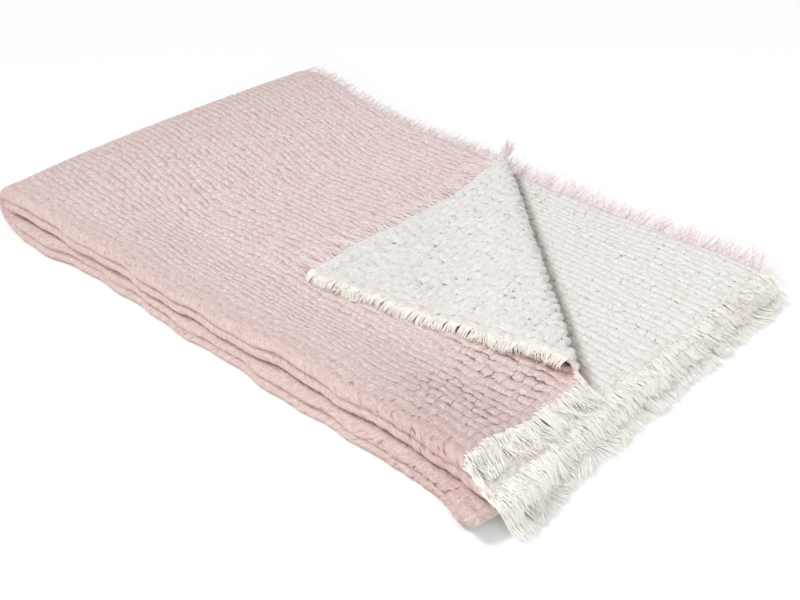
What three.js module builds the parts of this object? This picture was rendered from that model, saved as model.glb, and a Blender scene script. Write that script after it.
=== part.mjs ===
// A crinkled cotton throw, pink on one face and off-white on the other.
// It is folded in half along its length and then in half across it, so it lies four layers deep.
// The long fold is the front edge, the cross fold is the left end, and the top layer's free
// corner is turned back. White yarn fringes the short ends and pink yarn fringes the long sides.
// Millimetres, +Z up, origin under the middle of the folded throw.

import * as THREE from 'three';

// The cloth laid flat, without its fringes
const CLOTH_WIDTH = 1290;
const CLOTH_LENGTH = 1890;
const CLOTH_THICKNESS = 5;
const HALF_WIDTH = CLOTH_WIDTH / 2;
const HALF_LENGTH = CLOTH_LENGTH / 2;

// The cross fold is made a little off the middle, so that the lower half reaches further
const CROSS_FOLD_SHIFT = 7;

// Half heights of the stack, from its mid plane to the middle of the outer and inner layers
const STACK = {
  open: { outer: 16, inner: 5.3 },
  front: { outer: 30.5, inner: 4 },
  end: { outer: 33.5, inner: 18 },
  nose: { outer: 33.5, inner: 11 },
};
// How far from each fold its full height holds, and where the stack has settled flat
const FRONT_RISE = { from: 26, to: 180 };
const END_RISE = { from: 45, to: 300 };
const END_RADIUS = STACK.end.outer;

// The front fold wanders in and out along the throw, and is pressed in along its middle
const FRONT_LINE = [
  { x: 0, upper: 6, lower: 5, crease: 5 },
  { x: 125, upper: 5, lower: 0, crease: 5 },
  { x: 250, upper: 8, lower: 13, crease: 5 },
  { x: 390, upper: 8, lower: 6, crease: 9 },
  { x: 540, upper: 6, lower: 4, crease: 7 },
  { x: 670, upper: 7, lower: -2, crease: 11 },
  { x: 800, upper: 9, lower: 4, crease: 9 },
  { x: 895, upper: 7, lower: 0, crease: 8 },
  { x: 980, upper: -4, lower: -17, crease: 6 },
];
const CREASE_SPREAD = 0.42;

// Slow swells of the upper layers
const SWELLS = [
  { height: 1.5, waveX: 295, waveY: 230, phase: 0.4 },
  { height: 1, waveX: 160, waveY: 390, phase: 2.1 },
];

// The turned-back corner of the top layer: its crease runs from the long side to the end, its bend
// is fatter at the back, it settles as it lies back, and its tip is pulled out on the bias
const CORNER = {
  head: { x: 474, y: 630 },
  foot: { x: 903, y: 229 },
  bend: { back: 12, front: 9 },
  settle: { share: 0.38, over: 105 },
  pull: { x: -22, y: -32, over: 330 },
};

// Fringes
const PART_GAP = 0.3;
const STRAND_THICKNESS = 3;
const STRIP_WIDTH = 5;
const STRAND_CLEAR = 1.5;
const END_FRINGE = { length: 47, pitch: 25, lock: 0.68, tip: 0.4, gap: 0.9 };
const RIM_FRINGE = { length: 40, pitch: 29, lock: 0.7, tip: 0.5, steps: 5, rim: 7, radius: 2.7, gap: 0.5 };
const SIDE_FRINGE = { length: 27, pitch: 42, lock: 0.32, tip: 0.17, steps: 2, droop: 4, gap: PART_GAP };
const TUFT_FRINGE = { length: 30, pitch: 14, lock: 0.6, tip: 0.3, steps: 2, droop: 0, gap: 0.9 };
const LOCK_LEAN = 3;
const FOLD_PITCH = 9;
// How an end's strands bend down onto what lies under them: the steepest angle in radians, the
// height over which they ease out of it, and the length over which they first bend
const HANG = { steepest: 1.1, ease: 9, bend: 12, step: 2 };
// What the combs of strands leave bare beside the long fold, the crease and the cloth's corners
const BARE = { upperFold: 15, lowerFold: 20, crease: 13, tuft: 4, rim: 40, corner: 4 };

// The frame's origin under the middle of the folded throw
const ORIGIN = { x: 503, y: 326 };

const COLORS = { pink: 0xe0ccca, white: 0xe7e5e0 };

const clamp = (value, low, high) => Math.min(high, Math.max(low, value));
const mix = (from, to, share) => from + (to - from) * share;
const ease = (share) => share * share * (3 - 2 * share);
const fade = (distance, range) => 1 - ease(clamp((distance - range.from) / (range.to - range.from), 0, 1));

function tableValue(table, x, column) {
  const last = table.length - 2;
  let row = 0;
  while (row < last && x > table[row + 1].x) row += 1;
  const [low, high] = [table[row], table[row + 1]];
  return mix(low[column], high[column], ease(clamp((x - low.x) / (high.x - low.x), 0, 1)));
}

// Half heights of the stack at a distance x from its folded end and y from its folded front
function stackHeights(x, y) {
  const nearFront = fade(y, FRONT_RISE);
  const nearEnd = fade(x, END_RISE);
  const height = (layer) => mix(
    mix(STACK.open[layer], STACK.front[layer], nearFront),
    mix(STACK.end[layer], STACK.nose[layer], nearFront),
    nearEnd,
  );
  const swell = SWELLS.reduce((sum, wave) => sum + wave.height
    * Math.sin(x / wave.waveX * Math.PI + wave.phase) * Math.cos(y / wave.waveY * Math.PI), 0);
  return { outer: height('outer') + swell * (1 - nearEnd), inner: height('inner') };
}

// Where a point of the flat cloth lies once both folds are made. across runs over the width from
// the long fold, positive for the outer layers; along runs from the cross fold, positive on top.
function foldTwice(across, along) {
  const run = along - CROSS_FOLD_SHIFT;
  const atFront = stackHeights(Math.abs(run), 0);
  const bendRadius = (atFront.outer - atFront.inner) / 2;
  const turn = clamp(across / bendRadius, -Math.PI / 2, Math.PI / 2);
  const outward = (1 + Math.sin(turn)) / 2;
  const atEnd = stackHeights(0, Math.abs(across));
  const endRadius = mix(atEnd.inner, atEnd.outer, outward);
  const wrap = clamp(run / endRadius, -Math.PI / 2, Math.PI / 2);
  const x = END_RADIUS - endRadius * Math.cos(wrap) + Math.max(0, Math.abs(run) - endRadius * Math.PI / 2);
  const upperShare = (1 + Math.sin(wrap)) / 2;
  const frontLine = mix(tableValue(FRONT_LINE, x, 'lower'), tableValue(FRONT_LINE, x, 'upper'), upperShare);
  const pressed = tableValue(FRONT_LINE, x, 'crease') * Math.exp(-((turn / CREASE_SPREAD) ** 2));
  const y = bendRadius * (1 - Math.cos(turn)) + Math.max(0, Math.abs(across) - bendRadius * Math.PI / 2)
    + frontLine * fade(Math.abs(across), FRONT_RISE) + pressed;
  const { outer, inner } = stackHeights(x, Math.abs(across));
  return { x, y, z: outer + CLOTH_THICKNESS / 2 + mix(inner, outer, outward) * Math.sin(wrap) };
}

// The value between low and high at which a rising function passes zero
function crossing(rising, low, high) {
  const middle = (low + high) / 2;
  if (high - low < 0.1) return middle;
  return rising(middle) > 0 ? crossing(rising, low, middle) : crossing(rising, middle, high);
}

const onTopLayer = (across, along) => across > 0 && along > CROSS_FOLD_SHIFT;

// The corner's crease seen from above: a point on it and the unit direction across it
const creaseLength = Math.hypot(CORNER.foot.x - CORNER.head.x, CORNER.foot.y - CORNER.head.y);
const creaseAcross = {
  x: (CORNER.head.y - CORNER.foot.y) / creaseLength,
  y: (CORNER.foot.x - CORNER.head.x) / creaseLength,
};

// Distance of a point of the top layer beyond the corner's crease, before it is turned back
function beyondCorner(across, along) {
  if (!onTopLayer(across, along)) return -Infinity;
  const { x, y } = foldTwice(across, along);
  return (x - CORNER.head.x) * creaseAcross.x + (y - CORNER.head.y) * creaseAcross.y;
}

function place(across, along) {
  const point = foldTwice(across, along);
  const beyond = beyondCorner(across, along);
  if (beyond <= 0) return point;
  const { bend, settle, pull } = CORNER;
  const radius = mix(bend.front, bend.back, clamp(point.y / HALF_WIDTH, 0, 1));
  const turn = Math.min(beyond / radius, Math.PI);
  const laidBack = Math.max(0, beyond - radius * Math.PI);
  const shift = radius * Math.sin(turn) - laidBack - beyond;
  const fromTip = Math.hypot(HALF_WIDTH - across, HALF_LENGTH - along);
  const pulled = 1 - ease(clamp(fromTip / pull.over, 0, 1));
  const x = point.x + shift * creaseAcross.x + pull.x * pulled;
  const y = point.y + shift * creaseAcross.y + pull.y * pulled;
  const under = 2 * stackHeights(x, y).outer + CLOTH_THICKNESS / 2;
  const settled = 1 - settle.share * ease(clamp(laidBack / settle.over, 0, 1));
  return { x, y, z: under + radius * (1 - Math.cos(turn)) * settled };
}

// A flat mesh of cells between grid lines, as [u, v] points and triangles of their indices
function gridMesh(us, vs) {
  const points = us.flatMap((u) => vs.map((v) => [u, v]));
  const faces = [];
  for (let i = 0; i + 1 < us.length; i += 1) {
    for (let j = 0; j + 1 < vs.length; j += 1) {
      const a = i * vs.length + j;
      const [b, c, d] = [a + vs.length, a + vs.length + 1, a + 1];
      faces.push([a, b, c], [a, c, d]);
    }
  }
  return { points, faces };
}

// Splits every triangle that the curve level(u, v) = 0 crosses, so that an edge runs along it
function splitAlong(mesh, level) {
  const points = [...mesh.points];
  const heights = points.map(([u, v]) => {
    const height = level(u, v);
    return Math.abs(height) < 0.5 ? 0 : height;
  });
  const made = new Map();
  const cutPoint = (a, b) => {
    const [low, high] = a < b ? [a, b] : [b, a];
    const key = `${low} ${high}`;
    if (!made.has(key)) {
      const share = heights[low] / (heights[low] - heights[high]);
      made.set(key, points.push([0, 1].map((i) => mix(points[low][i], points[high][i], share))) - 1);
      heights.push(0);
    }
    return made.get(key);
  };
  const faces = mesh.faces.flatMap((face) => {
    const signs = face.map((corner) => Math.sign(heights[corner]));
    if (!signs.includes(1) || !signs.includes(-1)) return [face];
    const flat = signs.indexOf(0);
    if (flat >= 0) {
      const [a, b, c] = [0, 1, 2].map((step) => face[(flat + step) % 3]);
      const cut = cutPoint(b, c);
      return [[a, b, cut], [a, cut, c]];
    }
    const total = signs[0] + signs[1] + signs[2];
    const lone = signs.indexOf(-Math.sign(total));
    const [a, b, c] = [0, 1, 2].map((step) => face[(lone + step) % 3]);
    const [ab, ac] = [cutPoint(a, b), cutPoint(a, c)];
    return [[a, ab, ac], [ab, b, c], [ab, c, ac]];
  });
  return { points, faces };
}

// Gives a flat mesh its place in space by locate(u, v) and its thickness, as one closed solid
function thicken(mesh, locate, thickness) {
  const step = 0.4;
  const at = (u, v) => {
    const { x, y, z } = locate(u, v);
    return new THREE.Vector3(x, y, z);
  };
  const count = mesh.points.length;
  const positions = new Float32Array(count * 6);
  mesh.points.forEach(([u, v], index) => {
    const alongU = at(u + step, v).sub(at(u - step, v));
    const alongV = at(u, v + step).sub(at(u, v - step));
    const offset = alongU.cross(alongV).normalize().multiplyScalar(thickness / 2);
    const middle = at(u, v);
    middle.clone().add(offset).toArray(positions, index * 3);
    middle.clone().sub(offset).toArray(positions, (count + index) * 3);
  });
  const indices = [];
  const rim = new Map();
  for (const face of mesh.faces) {
    const [a, b, c] = face;
    indices.push(a, b, c, count + a, count + c, count + b);
    for (let i = 0; i < 3; i += 1) {
      const [from, to] = [face[i], face[(i + 1) % 3]];
      if (!rim.delete(`${to} ${from}`)) rim.set(`${from} ${to}`, [from, to]);
    }
  }
  for (const [from, to] of rim.values()) {
    indices.push(from, count + from, count + to, from, count + to, to);
  }
  const geometry = new THREE.BufferGeometry();
  geometry.setAttribute('position', new THREE.BufferAttribute(positions, 3));
  geometry.setIndex(indices);
  return geometry.translate(-ORIGIN.x, -ORIGIN.y, 0);
}

// Where the corner's crease meets the end of the cloth, and where it meets the long side
const creaseFoot = crossing((across) => beyondCorner(across, HALF_LENGTH), 0, HALF_WIDTH);
const creaseHead = crossing((along) => beyondCorner(HALF_WIDTH, along), 0, HALF_LENGTH);
const bentLength = Math.PI * CORNER.bend.back * Math.SQRT2;

// Grid lines of the cloth: close together at both folds, wide apart where it lies flat
const bothWays = (lines) => [...lines.slice(1).reverse().map((value) => -value), ...lines];
const inOrder = (lines) => [...lines].sort((low, high) => low - high);
const ACROSS_LINES = inOrder([
  ...bothWays([0, 4, 9, 15, 23, 36, 60, 95, 140, 190, 340, 430, 530, HALF_WIDTH]),
  creaseFoot, creaseFoot + bentLength,
]);
const ALONG_LINES = inOrder([
  ...bothWays([0, 11, 22, 33, 44, 56, 80, 120, 180, 260, 360, 590, 690, 780, 870])
    .map((value) => value + CROSS_FOLD_SHIFT),
  -HALF_LENGTH, HALF_LENGTH, creaseHead, creaseHead + bentLength,
]);

function clothMesh() {
  let mesh = gridMesh(ACROSS_LINES, ALONG_LINES);
  const bendSteps = 6;
  for (let i = 0; i <= bendSteps; i += 1) {
    const reach = Math.PI * mix(CORNER.bend.front, CORNER.bend.back, 0.5) * i / bendSteps;
    mesh = splitAlong(mesh, (u, v) => beyondCorner(u, v) - reach);
  }
  return mesh;
}

// A point of the cloth's straight-sided edge between two of its grid lines
function onEdge(lines, value, at) {
  const row = clamp(lines.findIndex((line) => line > value), 1, lines.length - 1) - 1;
  const share = (value - lines[row]) / (lines[row + 1] - lines[row]);
  const [near, far] = [at(lines[row]), at(lines[row + 1])];
  return { x: mix(near.x, far.x, share), y: mix(near.y, far.y, share), z: mix(near.z, far.z, share) };
}

const endRoot = (end, across) => onEdge(ACROSS_LINES, across, (line) => place(line, end));
const sideRoot = (side, along) => onEdge(ALONG_LINES, along, (line) => place(side, line));

// A comb in flat measure: a narrow strip from which locks run out, tapering and leaning a little.
// Points are [distance along the edge, distance out from the edge]. Locks stand closer up to tight.
function combMesh(from, to, fringe, tight = from) {
  const points = [];
  const faces = [];
  const quad = (a, b, c, d) => faces.push([a, b, c], [a, c, d]);
  const add = (a, out) => points.push([a, out]) - 1;
  const shares = (start, end, pitch) => {
    const count = Math.round((end - start) / pitch);
    const spaced = (end - start) / count;
    return Array.from({ length: count }, (_, i) => ({ at: start + (i + 0.5) * spaced, pitch: spaced }));
  };
  let near = add(from, 0);
  let far = add(from, STRIP_WIDTH);
  [...shares(from, tight, FOLD_PITCH), ...shares(tight, to, fringe.pitch)].forEach(({ at, pitch }, i) => {
    const lean = LOCK_LEAN * Math.sin(i * 2.4 + 1) * pitch / fringe.pitch;
    const edge = (side, out) => {
      const share = (out - STRIP_WIDTH) / (fringe.length - STRIP_WIDTH);
      return at + side * pitch * mix(fringe.lock, fringe.tip, share) / 2 + lean * share * share;
    };
    let left = add(edge(-1, STRIP_WIDTH), STRIP_WIDTH);
    let right = add(edge(1, STRIP_WIDTH), STRIP_WIDTH);
    const [nearLeft, nearRight] = [add(points[left][0], 0), add(points[right][0], 0)];
    quad(near, nearLeft, left, far);
    quad(nearLeft, nearRight, right, left);
    [near, far] = [nearRight, right];
    for (let k = 1; k <= fringe.steps; k += 1) {
      const out = mix(STRIP_WIDTH, fringe.length, k / fringe.steps);
      const [nextLeft, nextRight] = [add(edge(-1, out), out), add(edge(1, out), out)];
      quad(left, right, nextRight, nextLeft);
      [left, right] = [nextLeft, nextRight];
    }
  });
  quad(near, add(to, 0), add(to, STRIP_WIDTH), far);
  return { points, faces };
}

// The four ends that lie over each other, from the top layer down
const ENDS = [
  { side: 1, along: HALF_LENGTH },
  { side: -1, along: HALF_LENGTH },
  { side: -1, along: -HALF_LENGTH },
  { side: 1, along: -HALF_LENGTH },
];
const STRAND_SEAT = STRAND_THICKNESS / 2;
const STRIP_DROP = (CLOTH_THICKNESS - STRAND_THICKNESS) / 2;
const hangRoutes = new Map();

// Height that a strand may not go under, over the fringe that the layer below hangs out
function supportHeight(below, x) {
  if (!below) return STRAND_SEAT;
  if (x < below[0].x + STRIP_WIDTH) return below[0].z + STRIP_DROP + CLOTH_THICKNESS + STRAND_CLEAR;
  const row = below.findIndex((point) => point.x > x);
  if (row < 1) return below.at(-1).z + STRAND_THICKNESS + STRAND_CLEAR;
  const [near, far] = [below[row - 1], below[row]];
  const steepness = HANG.step / (far.x - near.x);
  const share = (x - near.x) / (far.x - near.x);
  return mix(near.z, far.z, share) + (STRAND_THICKNESS + STRAND_CLEAR) * steepness;
}

// The route of a strand from an end, out and down onto what lies under it
function hangRoute(layer, across) {
  const key = `${layer} ${across.toFixed(2)}`;
  if (hangRoutes.has(key)) return hangRoutes.get(key);
  const root = endRoot(ENDS[layer].along, ENDS[layer].side * across);
  const below = layer < ENDS.length - 1 ? hangRoute(layer + 1, across) : null;
  const route = [{ x: root.x + END_FRINGE.gap, z: Math.max(STRAND_SEAT, root.z - STRIP_DROP) }];
  for (let out = HANG.step; out <= END_FRINGE.length + HANG.step; out += HANG.step) {
    const { x, z } = route.at(-1);
    const height = Math.max(0, z - supportHeight(below, x + HANG.step));
    const angle = HANG.steepest * Math.tanh(height / HANG.ease)
      * Math.min(1, out / HANG.bend) * ease(Math.min(1, across / FRONT_RISE.from));
    const next = x + HANG.step * Math.cos(angle);
    route.push({ x: next, z: Math.max(supportHeight(below, next), z - HANG.step * Math.sin(angle)) });
  }
  hangRoutes.set(key, route);
  return route;
}

function endFringe(layer, from, to, steps) {
  const { side, along } = ENDS[layer];
  const locate = (across, out) => {
    const route = hangRoute(layer, across);
    const step = clamp(Math.floor(out / HANG.step), 0, route.length - 2);
    const [near, far] = [route[step], route[step + 1]];
    const share = out / HANG.step - step;
    const { y } = endRoot(along, side * across);
    return { x: mix(near.x, far.x, share), y, z: mix(near.z, far.z, share) };
  };
  return thicken(combMesh(from, to, { ...END_FRINGE, steps }, FRONT_RISE.from), locate, STRAND_THICKNESS);
}

// The free edge of the turned-back corner: its strands run out, curl down and lie back under it
function rimFringe(from, to) {
  const locate = (across, out) => {
    const root = endRoot(HALF_LENGTH, across);
    const { rim, radius } = RIM_FRINGE;
    const curl = clamp((out - rim) / radius, 0, Math.PI);
    const reach = Math.min(out, rim) + radius * Math.sin(curl) - Math.max(0, out - rim - radius * Math.PI);
    return { x: root.x, y: root.y - RIM_FRINGE.gap - reach, z: root.z - radius * (1 - Math.cos(curl)) };
  };
  return thicken(combMesh(from, to, RIM_FRINGE), locate, STRAND_THICKNESS);
}

// A long side's strands run on in the plane of the cloth's edge and droop a little
function sideFringe(side, from, to, fringe, rootAt = sideRoot) {
  const step = 0.5;
  const locate = (along, out) => {
    const root = rootAt(side * HALF_WIDTH, along);
    const inner = rootAt(side * (HALF_WIDTH - step), along);
    const reach = (fringe.gap + out) / step;
    const share = out / fringe.length;
    const z = root.z + (root.z - inner.z) * reach - STRIP_DROP - fringe.droop * share * share;
    return {
      x: root.x + (root.x - inner.x) * reach,
      y: root.y + (root.y - inner.y) * reach,
      z: Math.max(STRAND_SEAT, z),
    };
  };
  return thicken(combMesh(from, to, fringe), locate, STRAND_THICKNESS);
}

const throwGroup = new THREE.Group();

function addPiece(name, geometry, color) {
  const material = new THREE.MeshStandardMaterial({ color, roughness: 0.95, metalness: 0 });
  const mesh = new THREE.Mesh(geometry, material);
  mesh.name = name;
  throwGroup.add(mesh);
}

addPiece('cloth', thicken(clothMesh(), place, CLOTH_THICKNESS), COLORS.pink);

const endLimit = HALF_WIDTH - BARE.corner;
addPiece('end_fringe_top', endFringe(0, BARE.upperFold, creaseFoot - BARE.crease, 3), COLORS.white);
addPiece('end_fringe_second', endFringe(1, BARE.upperFold, endLimit, 3), COLORS.white);
addPiece('end_fringe_third', endFringe(2, BARE.lowerFold, endLimit, 3), COLORS.white);
addPiece('end_fringe_bottom', endFringe(3, BARE.lowerFold, endLimit, 2), COLORS.white);
addPiece('end_fringe_corner', rimFringe(creaseFoot + bentLength + BARE.rim, endLimit), COLORS.white);

const sideLimit = HALF_LENGTH - BARE.corner;
const bentEnd = creaseHead + bentLength;
const sideCombs = [
  { name: 'side_fringe_outer', side: 1, from: -sideLimit, to: creaseHead - BARE.crease },
  { name: 'side_fringe_inner', side: -1, from: -sideLimit, to: sideLimit },
  { name: 'side_fringe_corner', side: 1, from: bentEnd + BARE.crease, to: sideLimit },
];
for (const { name, side, from, to } of sideCombs) {
  addPiece(name, sideFringe(side, from, to, SIDE_FRINGE), COLORS.pink);
}
const tuft = sideFringe(1, creaseHead + BARE.tuft, bentEnd - BARE.tuft, TUFT_FRINGE, place);
addPiece('side_fringe_tuft', tuft, COLORS.pink);

export default throwGroup;
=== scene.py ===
"""A crinkled cotton throw, folded four layers deep with one corner turned back.

The cloth is one sheet. Both of its folds and the turned-back corner are worked out from its
flat measures, the puckers of the weave are raised on it, and yarns fringe all its edges.
"""

import math

import bpy
import numpy as np
from bpy.props import FloatProperty, FloatVectorProperty, IntProperty, PointerProperty
from mathutils import Matrix, Vector


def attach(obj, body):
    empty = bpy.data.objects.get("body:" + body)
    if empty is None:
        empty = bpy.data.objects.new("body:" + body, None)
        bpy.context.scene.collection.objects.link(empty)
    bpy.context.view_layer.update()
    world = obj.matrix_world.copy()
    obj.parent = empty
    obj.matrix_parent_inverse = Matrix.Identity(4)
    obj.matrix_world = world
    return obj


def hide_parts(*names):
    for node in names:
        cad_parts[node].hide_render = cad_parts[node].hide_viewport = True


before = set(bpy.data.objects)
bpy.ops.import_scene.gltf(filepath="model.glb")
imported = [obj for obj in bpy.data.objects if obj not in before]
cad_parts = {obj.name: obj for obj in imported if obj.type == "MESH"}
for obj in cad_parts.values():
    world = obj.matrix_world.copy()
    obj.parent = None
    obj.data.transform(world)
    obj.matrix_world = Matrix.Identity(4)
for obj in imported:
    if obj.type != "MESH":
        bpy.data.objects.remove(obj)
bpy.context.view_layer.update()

bl_info = {
    "name": "Folded cotton throw",
    "version": (1, 0, 0),
    "blender": (4, 5, 0),
    "location": "3D View > Sidebar > Throw",
    "description": "Builds a crinkled cotton throw, folded in four with one corner turned back",
    "category": "Object",
}

MM = 0.001

# The frame's origin, measured from the folded end and from the folded front
ORIGIN = np.array([503.0, 326.0, 0.0]) * MM

# The lower half of the folded throw reaches further than the upper half
CROSS_FOLD_SHIFT = 7 * MM

# Half heights of the stack, from its mid plane to the middle of the outer and inner layers
STACK = {
    "open": {"outer": 16 * MM, "inner": 5.3 * MM},
    "front": {"outer": 30.5 * MM, "inner": 4 * MM},
    "end": {"outer": 35 * MM, "inner": 18 * MM},
    "nose": {"outer": 34 * MM, "inner": 6.5 * MM},
}
# The folded end stands a little higher amid its length
END_CROWN = {"height": 3.2 * MM, "length": 650 * MM}
# How far from each fold its full height holds, and where the stack has settled flat
FRONT_RISE = (26 * MM, 180 * MM)
END_RISE = (45 * MM, 300 * MM)
# The inner layers close up sooner, behind the mouth of the folded end
MOUTH_RISE = (20 * MM, 150 * MM)
# How far in from the folded end its bend is centred
END_RADIUS = 33.5 * MM
# The height that the stack is worked out for: the lowest layer's middle over the surface
SEAT = 2.5 * MM

# The front fold wanders in and out along the throw, and is pressed in along its middle, over an
# angle of its bend: the upper and the lower half's lines, and the depth of the crease between them
FRONT_LINE = {
    "x": (0, 125, 250, 390, 540, 670, 800, 895, 970),
    "upper": (6, 5, 8, 8, 6, 7, 9, 7, -4),
    "lower": (5, 0, 13, 6, 4, -2, 2, -5, -32),
    "crease": (9, 10, 7, 12, 8, 13, 9, 9, 8),
}
CREASE_SPREAD = 0.42
# Smaller waves of the front fold: height, length over two pi, phase, and the upper half's lead
FRONT_WAVES = ((2.0 * MM, 27 * MM, 0.9, 2.1), (1.2 * MM, 12.3 * MM, 0.0, 1.3))
# They die out where the front reaches out beside the fringe, and change the crease by this share
FRONT_WAVES_END = (830 * MM, 930 * MM)
CREASE_WAVES = 0.8

# Slow swells of the upper layers: height, half waves along x and y, and phase
SWELLS = (
    {"height": 1.5 * MM, "x": 295 * MM, "y": 230 * MM, "phase": 0.4},
    {"height": 1.0 * MM, "x": 160 * MM, "y": 390 * MM, "phase": 2.1},
)

# The turned-back corner: its crease runs from the long side to the end
CORNER_HEAD = np.array([474.0, 630.0]) * MM
CORNER_FOOT = np.array([903.0, 229.0]) * MM
# The radius of its bend at the front and at the long side
CORNER_BEND = {"front": 9 * MM, "back": 12 * MM}
# The share of the bend's height that it loses past the crease, and how its tip is pulled askew
CORNER_SETTLE = {"share": 0.56, "over": 120 * MM}
CORNER_PULL = {"x": -22 * MM, "y": -32 * MM, "over": 330 * MM}

# Waves of the ragged edges: height, length over two pi, and phase
RAGGED = ((2.4 * MM, 19 * MM, 0.3), (1.3 * MM, 8.3 * MM, 1.9), (0.7 * MM, 4.1 * MM, 4.0))
# The long sides wave less than the ends, and all waves die out this far inside the cloth
RAGGED_SIDE = 0.8
RAGGED_REACH = 45 * MM

# Grid of the cloth's faces: the unit cells, and the widest cell in units
GRID = {"across": 600, "along": 336, "widest": 8}
# How far its finer cells reach: from the folds and edges, and past the corner's crease
FINE = {"front": 45 * MM, "end": 110 * MM, "nose": 60 * MM, "edge": 12 * MM}
FINE_PINK = {"past": 30 * MM, "from": -12 * MM, "to": 60 * MM, "nose": 75 * MM}
FINE_WHITE = {"past": -20 * MM, "under": -30 * MM}

# The cloth thins to its edge thickness over this much
EDGE_THINNING = 12 * MM
# The last puckers lie in rows along the ends, this wide, and further in the rows aren't counted
HEM_ROW = 13 * MM
HEM_COUNT = 30
# The puckers get shorter between these shares of the way from the cross fold to the end
PUCKERS_SHORTEN = (0.42, 0.92)

# How high the puckers stand, as shares of their height, and where each share holds
RELIEF = {
    "fold": {"share": 0.9, "reach": (20 * MM, 100 * MM)},
    "end": {"least": 0.75, "more": 0.85, "reach": (60 * MM, 330 * MM)},
    "crease": {"more": 1.0, "place": 14 * MM, "width": 17 * MM},
    "turned": {"share": 1.45, "over": 40 * MM},
    "edge": {"share": 0.35, "over": 14 * MM},
}
# Shares of warm light, near the front fold, the ends and the cloth under the corner's free edge
WARM = {
    "front": {"share": 0.35, "reach": (6 * MM, 70 * MM)},
    "end": {"share": 0.45, "reach": (2 * MM, 18 * MM)},
    "under": {"share": 0.9, "width": 11 * MM, "samples": 60},
}
# Shares of painted shade: on the white face under the corner's crease and on its bend, in bend radii,
# and on the pink face by the fringed ends, the folded end and the front
PAINTED_SHADE = {
    "under": {"past": 12 * MM, "reach": (10 * MM, 30 * MM)},
    "bend": {"reach": (1.0, 1.7)},
    "end": {"share": 0.36, "reach": (40 * MM, 300 * MM), "across": (60 * MM, 330 * MM)},
    "fold": {"share": 0.26, "reach": (30 * MM, 240 * MM)},
    "front": {"share": 0.16, "reach": (20 * MM, 90 * MM)},
}

# The two faces of the cloth: how their normals point, their slot in the mesh, their bake column,
# and how high they puff
FACES = {
    "pink": {"side": -1, "slot": 0, "column": 0, "puff": 1},
    "white": {"side": 1, "slot": 1, "column": 1, "puff": 1.5},
}

# A loose yarn: its sides, its width, height and tip in its radius, as it lies flattened, and the
# length of one turn of its twist
YARN = {"sides": 4, "wide": 1.25, "high": 0.6, "tip": 0.55, "twist": 2.2 * MM}

CLOTH_NAME = "throw_cloth"
BAKE_MAP = "OFBake"


def mix(low, high, share):
    return low + (high - low) * share


def ease(share):
    share = np.clip(share, 0, 1)
    return share * share * (3 - 2 * share)


def fade(distance, reach):
    """One up to the reach's start, and down to nothing at its end."""
    return 1 - ease((distance - reach[0]) / (reach[1] - reach[0]))


def eased_table(table, column, x):
    """A table's column at x, with eased steps between its rows."""
    places = np.array(table["x"]) * MM
    values = np.array(table[column]) * MM
    row = np.clip(np.searchsorted(places, x) - 1, 0, len(places) - 2)
    share = (x - places[row]) / (places[row + 1] - places[row])
    return mix(values[row], values[row + 1], ease(share))


def stack_heights(x, y):
    """Half heights of the outer and inner layers at a distance from the folded end and front."""
    near_front, near_end = fade(y, FRONT_RISE), fade(x, END_RISE)

    def height(layer, near_end):
        flat = mix(STACK["open"][layer], STACK["front"][layer], near_front)
        bent = mix(STACK["end"][layer], STACK["nose"][layer], near_front)
        return mix(flat, bent, near_end)

    def swell(wave):
        along_x = np.sin(x / wave["x"] * math.pi + wave["phase"])
        return wave["height"] * along_x * np.cos(y / wave["y"] * math.pi)

    crown = END_CROWN["height"] * np.sin(math.pi * np.clip(y / END_CROWN["length"], 0, 1))
    rise = mix(sum(swell(wave) for wave in SWELLS), crown, near_end)
    inner = height("inner", fade(x, MOUTH_RISE))
    return height("outer", near_end) + rise, inner


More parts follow.
